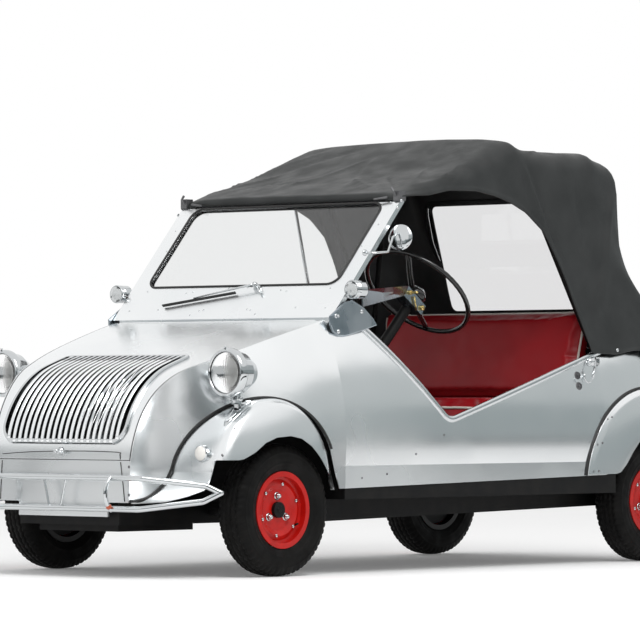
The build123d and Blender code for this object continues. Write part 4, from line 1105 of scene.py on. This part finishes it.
def screen_fittings():
    """Rivets of the windscreen panel, its feet, top brackets and corner plates."""
    rivets = Shape()
    face = Vector((0, -0.754, 0.657))
    rows = [(-0.216, 0.111), (0.041, 0.130), (0.189, 0.117), (0.3935, 0.122), (-0.11, 0.035), (0.094, 0.038),
            (0.2957, 0.043), (0.4221, 0.040), (0.140, 0.018), (-0.3935, 0.122), (-0.2957, 0.043),
            (-0.4221, 0.040),
            (0.4214, 0.296), (-0.4214, 0.296), (0.4309, 0.480), (-0.4309, 0.480), (0.437, 0.385),
            (-0.437, 0.385)]
    for x, up in rows:
        rivets.dome(screen_point(x, up), face, 0.0032, 0.0016, 12, 3)
    for at in ((0.4784, -0.5247, 0.785), (0.4784, -0.514, 0.738), (0.4784, -0.408, 0.800)):
        rivets.dome(at, (1, 0, 0), 0.0075, 0.005, 16, 4)
    rivets.prism((0.4784, -0.5247, 0.785), (1, 0, 0), 0.005, 0.012)
    for y, z in ((-0.240, 1.128), (-0.222, 1.150)):
        rivets.dome((0.472, y + 0.004, z - 0.004), (1, 0, 0), 0.0055, 0.005, 14, 4)
    rivets.mirrored().make("windscreen_rivets", "chrome", "car")
    plate = Shape()
    corners = [(-0.551, 0.784), (-0.549, 0.756), (-0.538, 0.736), (-0.515, 0.724), (-0.488, 0.7235),
               (-0.461, 0.728),
               (-0.400, 0.742), (-0.337, 0.759), (-0.352, 0.778), (-0.397, 0.812), (-0.452, 0.835),
               (-0.483, 0.828)]
    low = [Vector((0.4725, y, z)) for y, z in corners]
    high = [Vector((0.4775, y, z)) for y, z in corners]
    inner = [Vector((0.4785, -0.455 + (y + 0.455) * 0.95, 0.775 + (z - 0.775) * 0.93)) for y, z in corners]
    n = len(corners)
    faces = [(i, (i + 1) % n, n + (i + 1) % n, n + i) for i in range(n)]
    faces += [(n + i, n + (i + 1) % n, 2 * n + (i + 1) % n, 2 * n + i) for i in range(n)]
    faces += [tuple(range(n - 1, -1, -1)), tuple(range(2 * n, 3 * n))]
    plate.add(low + high + inner, faces)
    plate.mirrored().make("corner_plates", "plate", "car", smooth=False)
    clamp = Shape()
    x = 0.452
    clamp.box((x - 0.006, -0.226, 1.146), (x + 0.020, -0.196, 1.176))
    clamp.tube([(x + 0.004, -0.224, 1.160), (x + 0.004, -0.236, 1.176), (x - 0.004, -0.236, 1.186)], 0.004,
               10)
    clamp.tube([(x - 0.080, -0.232, 1.152), (x - 0.030, -0.226, 1.158)], 0.0035, 10)
    clamp.mirrored().make("hood_clamps", "steel", "car", smooth=False)


def prop_rod():
    """Thin bright prop of the soft top, on the right side alone, as seen through the screen."""
    rod = Shape()
    rod.tube([STAY_HEAD, STAY_FOOT], STAY_R, 12)
    rod.make("hood_stay", "trim", "car")


def dash_arm():
    """Folded plate from the post to the steering column with its clamp and brass screw."""
    arm = Shape()
    a, b = Vector((0.458, -0.379, 0.868)), Vector((0.458, -0.379, 0.815))
    c, d = Vector((0.288, 0.026, 0.889)), Vector((0.288, 0.004, 0.858))
    out = Vector((0.004, 0.0015, 0))
    arm.add([a, b, d, c, a - out, b - out, d - out, c - out],
            [(0, 1, 2, 3), (7, 6, 5, 4), (0, 4, 5, 1), (1, 5, 6, 2), (2, 6, 7, 3), (3, 7, 4, 0)])
    e, f = Vector((0.288, 0.108, 0.826)), Vector((0.288, 0.086, 0.798))
    arm.add([c, d, f, e, c - out * 8, d - out * 8, f - out * 8, e - out * 8],
            [(0, 1, 2, 3), (7, 6, 5, 4), (0, 4, 5, 1), (1, 5, 6, 2), (2, 6, 7, 3), (3, 7, 4, 0)])
    arm.make("dash_arm", "plate", "car", smooth=False)
    screw = Shape()
    screw.tube([(0.296, 0.030, 0.868), (0.322, 0.030, 0.868)], 0.0042, 10)
    screw.prism((0.290, 0.030, 0.868), (1, 0, 0), 0.008, 0.006)
    screw.prism((0.290, 0.086, 0.820), (1, 0, 0), 0.009, 0.007)
    screw.tube([(0.293, 0.046, 0.856), (0.293, 0.056, 0.812)], 0.003, 10)
    screw.make("dash_screws", "brass", "car")


def steering_fittings():
    """Two-spoke steering wheel with a dished hub and finger grips under the rim."""
    tilt = radians(WHEEL_TILT)
    axis = Vector((0, cos(tilt), sin(tilt)))
    across = Vector((1, 0, 0))
    slope = axis.cross(across)
    centre = Vector(WHEEL_AT)

    def at(angle, radius, lift=0.0):
        a = radians(angle)
        return centre + across * (radius * cos(a)) - slope * (radius * sin(a)) + axis * lift

    wheel = Shape()
    steps = 96
    rim = [at(360 * i / steps, STEER_R) for i in range(steps)]
    wheel.tube(rim, [0.0082 - 0.0007 * (i % 2) for i in range(steps)], 14, closed=True)
    for angle in (68, 248):
        run = [at(angle, r, lift) for r, lift in ((0.020, -0.020), (0.060, -0.021), (0.110, -0.015),
                                                  (0.150, -0.005),
                                                 (STEER_R - 0.002, 0.0))]
        for shift in (-0.005, 0.005):
            side = at(angle + 90, shift) - centre
            wheel.tube([p + side for p in run], [0.0052, 0.0050, 0.0046, 0.0044, 0.0050], 10)
    wheel.lathe([(-0.034, 0.012), (-0.034, 0.026), (-0.026, 0.034), (-0.014, 0.036), (-0.006, 0.033),
                 (-0.002, 0.026)],
                centre, axis, 48)
    wheel.lathe([(-0.002, 0.026), (0.002, 0.022), (0.0035, 0.012), (0.004, 0.0003)], centre, axis, 48)
    wheel.make("steering_wheel_rim", "moulding", "steering_wheel_turning", stand_for=("steering_wheel",))
    ring = Shape().lathe([(0.0015, 0.0275), (0.0042, 0.0262), (0.0045, 0.0235), (0.0025, 0.0225)], centre,
                         axis, 48)
    ring.make("horn_ring", "chrome", "steering_wheel_turning")


def lamp_fittings():
    """Rings, fluted glasses, clamps and feet of the headlamps, with the small lamps beside them."""
    x, y, z, r = LAMP["x"], LAMP["y"], LAMP["z"], LAMP["r"]
    bright = Shape()
    bright.lathe([(0.010, r - 0.0010), (0.0135, r + 0.0016), (0.0110, r + 0.0022), (0.002, r + 0.0020),
                  (-0.006, r + 0.0008), (-0.0105, r - 0.002), (-0.013, r - 0.006), (-0.0125, r - 0.0085),
                  (-0.009, r - 0.0095)], (x, y, z), (0, 1, 0), 72)
    bright.prism((x, y - 0.010, z + r), (0, 0.2, 1), 0.004, 0.007)
    foot = []
    for k in range(28):
        a = 2 * pi * k / 28
        long = 0.058 if sin(a) < 0 else 0.046
        foot.append((x + 0.019 * cos(a) * (1.0 if sin(a) < 0 else 1 - 0.25 * sin(a)),
                     y + 0.046 + long * sin(a)))
    rings = []
    for share, lift in ((1.0, 0.0), (0.97, 0.005), (0.80, 0.0085), (0.45, 0.0115), (0.30, 0.016)):
        ring = []
        for px, py in foot:
            qx, qy = x + (px - x) * share, y + 0.046 + (py - y - 0.046) * share
            at, _ = cast("front_wing_left", (qx, qy, 1.0), (0, 0, -1))
            if at is None:
                at = Vector((qx, qy, 0.50))
            ring.append(Vector((qx, qy, at.z + lift)))
        rings.append(ring)
    verts = [p for ring in rings for p in ring]
    n = len(foot)
    faces = []
    for i in range(len(rings) - 1):
        for k in range(n):
            m = (k + 1) % n
            faces.append((i * n + k, i * n + m, (i + 1) * n + m, (i + 1) * n + k))
    faces.append(tuple((len(rings) - 1) * n + k for k in range(n)))
    bright.add(verts, faces)
    for side in (-1, 1):
        bright.prism((x + side * 0.013, y + 0.040, z - 0.078), (side, 0, 0), 0.008, 0.008)
    bright.lathe([(0.0, 0.016), (0.012, 0.016), (0.020, 0.012), (0.030, 0.012)], (x, y + 0.040, z - 0.094),
                 (0, 0, 1), 24)
    bright.mirrored().make("headlamp_rings", "chrome", "car")
    glass_r = r - 0.0085
    verts, faces = [], []
    rings_n, steps = 16, 96
    for i in range(rings_n + 1):
        d = glass_r * i / rings_n
        for k in range(steps):
            a = 2 * pi * k / steps
            px, pz = d * cos(a), d * sin(a)
            flute = 0.00025 * abs(sin(px * pi / 0.0085)) * (1 if abs(pz) > 0.018 or abs(px) > 0.02 else 0.4)
            verts.append(Vector((x + px,
                                 y - 0.0065 - 0.0085 * (1 - (d / glass_r) ** 2) - flute * (i < rings_n - 1),
                                 z + pz)))
    for i in range(rings_n):
        for k in range(steps):
            m = (k + 1) % steps
            faces.append((i * steps + k, i * steps + m, (i + 1) * steps + m, (i + 1) * steps + k))
    base = len(verts)
    verts += [Vector((v.x, v.y + 0.0022, v.z)) for v in verts]
    faces += [tuple(base + i for i in reversed(f)) for f in faces]
    rim = rings_n * steps
    faces += [(rim + k, rim + (k + 1) % steps, base + rim + (k + 1) % steps, base + rim + k)
              for k in range(steps)]
    glass = Shape().add(verts, faces)
    glass.mirrored().make("headlamp_glasses", "lamp glass", "car",
                          stand_for=("headlamp_lens_left", "headlamp_lens_right"))
    bowl = Shape()
    bowl.lathe([(-0.0060, 0.0490), (-0.0068, 0.0484), (-0.0072, 0.0400), (-0.0070, 0.0200),
                (-0.0068, 0.0003)],
               (x, y, z), (0, 1, 0), 48)
    bowl.dome((x, y - 0.0070, z), (0, -1, 0), 0.006, 0.0032, 20, 6)
    bowl.mirrored().make("headlamp_reflectors", "silver", "car")
    small = Shape()
    small.lathe([(0.0, 0.0222), (0.0032, 0.0216), (0.0038, 0.0206), (0.0065, 0.0194), (0.0070, 0.0184),
                 (0.0095, 0.0155),
                 (0.0100, 0.0145), (0.0118, 0.0100), (0.0128, 0.0050), (0.0130, 0.0003)],
                 (0.440, -1.0770, 0.372), (0, -1, 0), 36)
    small.mirrored().make("side_lamp_glasses", "lamp", "car")
    turn = Shape()
    turn.lathe([(0.0, 0.0245), (0.003, 0.025), (0.0055, 0.023), (0.008, 0.0175), (0.0095, 0.010),
                (0.010, 0.0003)],
               (0.506, -0.4845, 0.866), (0, -1, 0), 36)
    turn.mirrored().make("turn_lamp_glasses", "lamp glass", "car")
    collar = Shape()
    collar.lathe([(0.0, 0.0285), (-0.004, 0.0292), (-0.007, 0.0275), (-0.006, 0.0245), (0.0, 0.0245)],
                 (0.506, -0.480, 0.866), (0, 1, 0), 36)
    collar.mirrored().make("turn_lamp_rings", "chrome", "car")


GRILLE_HALF = 0.256
GRILLE_BARS = 20
NOSE_C = (-0.931, 0.357)
BAR_INNER_R = 0.293


def grille_ridges():
    """Half-round bright ridge along each bar of the grille."""
    pitch = 2 * GRILLE_HALF / (GRILLE_BARS + 1)
    ridges = Shape()
    for i in range(GRILLE_BARS):
        x = pitch * (i + 1) - GRILLE_HALF
        centre = Vector((x, *NOSE_C))
        path = []
        for k in range(3, 80, 2):
            a = radians(k)
            way = Vector((0, -cos(a), sin(a)))
            at, _ = cast("grille", centre + way * 0.6, -way)
            if at is not None and (at - centre).length > BAR_INNER_R:
                path.append(at - way * 0.0006)
        if len(path) > 3:
            ridges.tube(path, 0.0072, 10, flat=0.36, up=path[len(path) // 2] - centre)
    ridges.make("grille_ridges", "aluminium", "bonnet_lid")


def nose_fittings():
    """Outline of the service flap under the grille, its knob, screws and the ball on the bumper."""
    lid = Shape()
    y = -1.2206
    lid.tube(smooth_curve([(-0.2574, y, 0.366), (-0.150, y, 0.3725), (0.0, y, 0.3765), (0.130, y, 0.3770),
                           (0.238, y, 0.3745), (0.2447, y, 0.3695), (0.2465, y, 0.3535)]), 0.0013, 6)
    lid.make("flap_outline_top", "bead", "bonnet_lid")
    edge = Shape()
    edge.tube([(0.2475, y, 0.346), (0.2565, y, 0.290), (0.2647, y, 0.229)], 0.0013, 6)
    edge.tube([(-0.2600, y, 0.346), (-0.2640, y, 0.290), (-0.2680, y, 0.229)], 0.0013, 6)
    edge.make("flap_outline_side", "bead", "car")
    knob = Shape()
    knob.lathe([(0.0, 0.012), (0.003, 0.012), (0.005, 0.009), (0.010, 0.006), (0.014, 0.007), (0.020, 0.0075),
                (0.024, 0.005), (0.025, 0.0003)], (-0.006, -1.221, 0.3766), (0, -1, 0), 28)
    knob.tube([(-0.006, -1.240, 0.3766), (0.016, -1.241, 0.372)], [0.0045, 0.003], 10)
    knob.make("flap_knob", "chrome", "bonnet_lid")
    screws = Shape()
    for sx, sz in ((0.2826, 0.3316), (0.2827, 0.2487)):
        screws.dome((sx, -1.220, sz), (0, -1, 0), 0.0045, 0.0028, 14, 3)
    screws.mirrored().make("nose_screws", "steel", "car")
    ball = Shape().lathe([(0.009 * (1 - cos(pi * k / 10)) - 0.009, max(0.0002, 0.009 * sin(pi * k / 10)))
                          for k in range(11)],
                         (0.240, -1.262, 0.214), (0, 0, 1), 20)
    ball.make("bumper_ball", "amber", "car")


def body_rivets():
    """Small rivets and screws along the sides and wings."""
    heads = Shape()
    for at, normal in (((0.543, -0.0983, 0.4204), (1, 0, 0)), ((0.5422, -0.2289, 0.3628), (1, 0, 0)),
                       ((0.5402, -0.3608, 0.3028), (1, 0, 0)), ((0.5402, -0.4751, 0.2922), (1, 0, 0)),
                       ((0.5274, -1.024, 0.4442), (0.11, -0.75, 0.65)),
                       ((0.5163, -1.0662, 0.3677), (0, -0.95, 0.32)),
                       ((0.5641, 0.7039, 0.4733), (0.58, -0.55, 0.6)),
                       ((0.570, 0.6478, 0.3899), (0.82, -0.5, 0.27)),
                       ((0.5737, 0.6253, 0.3002), (0.98, -0.17, 0.04))):
        heads.dome(at, normal, 0.0036, 0.0018, 12, 3)
    heads.mirrored().make("body_rivets", "steel", "car")


def hood_latch():
    """Wire hook and two small plates that hold down the corner of the soft top, with its snap."""
    wire = Shape()
    run = [(0.524, 0.670, 0.664), (0.534, 0.655, 0.642), (0.540, 0.642, 0.616), (0.542, 0.629, 0.591),
           (0.541, 0.609, 0.584), (0.540, 0.595, 0.596), (0.539, 0.595, 0.615)]
    wire.tube(smooth_curve(run), 0.0023, 10)
    wire.tube([(0.537, 0.650, 0.634), (0.5415, 0.634, 0.600)], 0.0040, 12)
    wire.box((0.500, 0.655, 0.640), (0.512, 0.705, 0.662))
    wire.mirrored().make("hood_latch_wire", "trim", "car")
    plates = Shape()
    for y, z, tilt in ((0.586, 0.607, 0.3), (0.584, 0.573, 0.15)):
        at, normal = cast("body_side_left", (0.8, y, z), (-1, 0, 0))
        across = Vector((0, 1, tilt)).normalized()
        up = normal.cross(across)
        ring, top = [], []
        for k in range(24):
            a = 2 * pi * k / 24
            ring.append(at + across * (0.015 * cos(a)) + up * (0.013 * sin(a)))
            top.append(at + across * (0.014 * cos(a)) + up * (0.012 * sin(a)) + normal * 0.0015)
        faces = [(k, (k + 1) % 24, 24 + (k + 1) % 24, 24 + k) for k in range(24)]
        plates.add(ring + top, faces + [tuple(range(24, 48))])
        plates.dome(at + normal * 0.003, normal, 0.005, 0.003, 14, 3)
    plates.mirrored().make("hood_latch_plates", "steel", "car")
    snap = Shape()
    at, normal = cast("hood", (0.9, 0.7932, 0.690), (-1, 0, 0))
    snap.dome(at + normal * 0.001, normal, 0.0065, 0.004, 16, 4)
    snap.mirrored().make("hood_snaps", "chrome", "car")


def mirror_fittings():
    """Round mirror with a domed back on a cranked rod."""
    centre = Vector((0.500, -0.252, 1.030))
    look = Vector((0.22, -0.95, 0.10)).normalized()
    head = Shape()
    head.lathe([(-0.002, 0.0400), (0.003, 0.0415), (0.005, 0.0395), (0.0080, 0.031), (0.0100, 0.020),
                (0.0112, 0.009),
                (0.0115, 0.0003)], centre, look, 48)
    head.tube([(0.468, -0.385, 0.981), (0.500, -0.372, 0.980), (0.505, -0.318, 0.984), (0.503, -0.292, 1.030),
               (0.5005, -0.268, 1.043)], 0.0040, 12)
    head.lathe([(0.0, 0.010), (0.004, 0.010), (0.006, 0.007), (0.006, 0.0003)], (0.469, -0.385, 0.981),
               (1, 0, 0), 20)
    head.make("mirror_head", "chrome", "car", stand_for=("mirror",))
    face = Shape().lathe([(-0.0022, 0.0385), (-0.003, 0.037), (-0.003, 0.0003)], centre, look, 48)
    face.make("mirror_glass", "mirror", "car")


def wiper_fittings():
    """Wiper blade, arm and spindle."""
    parts = Shape()
    blade = [screen_point(-0.275, 0.052, 0.010), screen_point(-0.120, 0.079, 0.010),
             screen_point(0.010, 0.102, 0.010)]
    parts.tube(blade, 0.0040, 8, flat=0.7)
    parts.tube([screen_point(-0.275, 0.052, 0.006), screen_point(0.010, 0.102, 0.006)], 0.0026, 6)
    parts.make("wiper_blade", "bead", "car", stand_for=("wiper",))
    bright = Shape()
    bright.tube([screen_point(-0.150, 0.076, 0.015), screen_point(0.020, 0.112, 0.019),
                 screen_point(0.085, 0.126, 0.020)],
                [0.0022, 0.0032, 0.0040], 10)
    spindle = screen_point(0.085, 0.126, 0.0)
    bright.lathe([(0.0, 0.013), (0.006, 0.013), (0.009, 0.009), (0.022, 0.008), (0.026, 0.005),
                  (0.027, 0.0003)],
                 spindle, (0, -0.754, 0.657), 24)
    bright.tube([screen_point(0.095, 0.120, 0.012), screen_point(0.118, 0.098, 0.008)], 0.0045, 10)
    bright.make("wiper_arm", "chrome", "car")


def stage_floor():
    """Wide pale floor that takes the shadow."""
    floor = bpy.data.meshes.new("floor")
    floor.from_pydata([(-40, -40, 0), (40, -40, 0), (40, 40, 0), (-40, 40, 0)], [], [(0, 1, 2, 3)])
    ground = bpy.data.objects.new("floor", floor)
    bpy.context.scene.collection.objects.link(ground)
    paint = bpy.data.materials.new("pale floor")
    paint.use_nodes = True
    tree = paint.node_tree
    shader = tree.nodes["Principled BSDF"]
    shader.inputs["Base Color"].default_value = (0.93, 0.93, 0.93, 1)
    shader.inputs["Roughness"].default_value = 0.9
    shader.inputs["Specular IOR Level"].default_value = 0.1
    shader.inputs["Emission Color"].default_value = (1, 1, 1, 1)
    shader.inputs["Emission Strength"].default_value = 0.12
    floor.materials.append(paint)
    return ground


def studio_arc(name, radius, low, high, start, end, tone):
    """Curved studio wall that only reflections see, between two bearings from +X."""
    steps = 48
    verts = []
    for i in range(steps + 1):
        a = radians(start + (end - start) * i / steps)
        verts += [(radius * cos(a), radius * sin(a), z) for z in (low, high)]
    faces = [(2 * i, 2 * i + 2, 2 * i + 3, 2 * i + 1) for i in range(steps)]
    mesh = bpy.data.meshes.new(name)
    mesh.from_pydata(verts, [], faces)
    wall = bpy.data.objects.new(name, mesh)
    bpy.context.scene.collection.objects.link(wall)
    paint = bpy.data.materials.new(name)
    paint.use_nodes = True
    tree = paint.node_tree
    glow = tree.nodes.new("ShaderNodeEmission")
    glow.inputs["Color"].default_value = (*tone, 1)
    tree.links.new(glow.outputs["Emission"], tree.nodes["Material Output"].inputs["Surface"])
    mesh.materials.append(paint)
    wall.visible_camera = False
    wall.visible_transmission = False
    wall.visible_diffuse = False
    wall.visible_shadow = False


def world_light():
    """White surroundings, dimmer for the light they throw than for what is seen of them."""
    world = bpy.data.worlds.new("studio")
    bpy.context.scene.world = world
    world.use_nodes = True
    tree = world.node_tree
    tree.nodes.clear()
    link = tree.links.new
    rays = tree.nodes.new("ShaderNodeLightPath")
    seen = tree.nodes.new("ShaderNodeMath")
    seen.operation = "MAXIMUM"
    bright = tree.nodes.new("ShaderNodeMath")
    bright.operation = "MAXIMUM"
    link(rays.outputs["Is Camera Ray"], seen.inputs[0])
    link(rays.outputs["Is Glossy Ray"], seen.inputs[1])
    link(seen.outputs[0], bright.inputs[0])
    link(rays.outputs["Is Transmission Ray"], bright.inputs[1])
    soft = tree.nodes.new("ShaderNodeBackground")
    soft.inputs["Color"].default_value = (1, 1, 1, 1)
    soft.inputs["Strength"].default_value = 0.76
    white = tree.nodes.new("ShaderNodeBackground")
    white.inputs["Color"].default_value = (1, 1, 1, 1)
    white.inputs["Strength"].default_value = 1.0
    mix = tree.nodes.new("ShaderNodeMixShader")
    out = tree.nodes.new("ShaderNodeOutputWorld")
    link(bright.outputs[0], mix.inputs[0])
    link(soft.outputs[0], mix.inputs[1])
    link(white.outputs[0], mix.inputs[2])
    link(mix.outputs[0], out.inputs["Surface"])


def softbox(name, at, target, size, power):
    """Rectangular lamp turned to a target."""
    light = bpy.data.lights.new(name, "AREA")
    light.shape = "RECTANGLE"
    light.size, light.size_y = size
    light.energy = power
    lamp = bpy.data.objects.new(name, light)
    bpy.context.scene.collection.objects.link(lamp)
    lamp.location = at
    lamp.rotation_euler = (Vector(target) - Vector(at)).to_track_quat("-Z", "Y").to_euler()


def camera():
    """Long lens at the photographer's place."""
    lens = bpy.data.cameras.new("camera")
    lens.lens = CAMERA_LENS
    lens.sensor_width = 36
    lens.clip_end = 200
    eye = bpy.data.objects.new("camera", lens)
    bpy.context.scene.collection.objects.link(eye)
    eye.location = CAMERA_AT
    eye.rotation_euler = (radians(90 + CAMERA_RISE), 0, radians(CAMERA_YAW))
    bpy.context.scene.camera = eye


paint_nodes()
make_tyres()
make_wheel_fittings()
wing_bead()
rear_wing_bead()
door_trim()
make_wings()
make_hood()
pane_binding()
make_seat()
glass_seal()
screen_fittings()
prop_rod()
dash_arm()
steering_fittings()
lamp_fittings()
grille_ridges()
nose_fittings()
body_rivets()
hood_latch()
mirror_fittings()
wiper_fittings()
stage_floor()
studio_arc("studio_skirting", 9.0, 0.0, 0.45, -180, 46, (0.09, 0.10, 0.105))
studio_arc("studio_skirting_rear", 9.0, 0.0, 0.45, 46, 180, (0.20, 0.22, 0.225))
studio_arc("studio_low_board", 2.2, 0.0, 0.20, -60, 20, (0.03, 0.035, 0.037))
studio_arc("studio_wall_side", 9.1, 0.45, 2.0, -85, 120, (0.33, 0.37, 0.375))
studio_arc("studio_wall_camera", 9.0, 0.45, 1.6, -80, -10, (0.12, 0.135, 0.14))
studio_arc("studio_wall_side_top", 9.2, 2.0, 4.4, -70, 110, (0.50, 0.53, 0.535))
studio_arc("studio_wall_front", 9.1, 0.45, 1.6, -175, -85, (0.44, 0.46, 0.465))
world_light()
softbox("overhead", (3.0, -2.2, 4.4), (0.2, 0.0, 0.4), (2.6, 2.6), 135)
camera()
bpy.context.scene.view_settings.view_transform = "Standard"
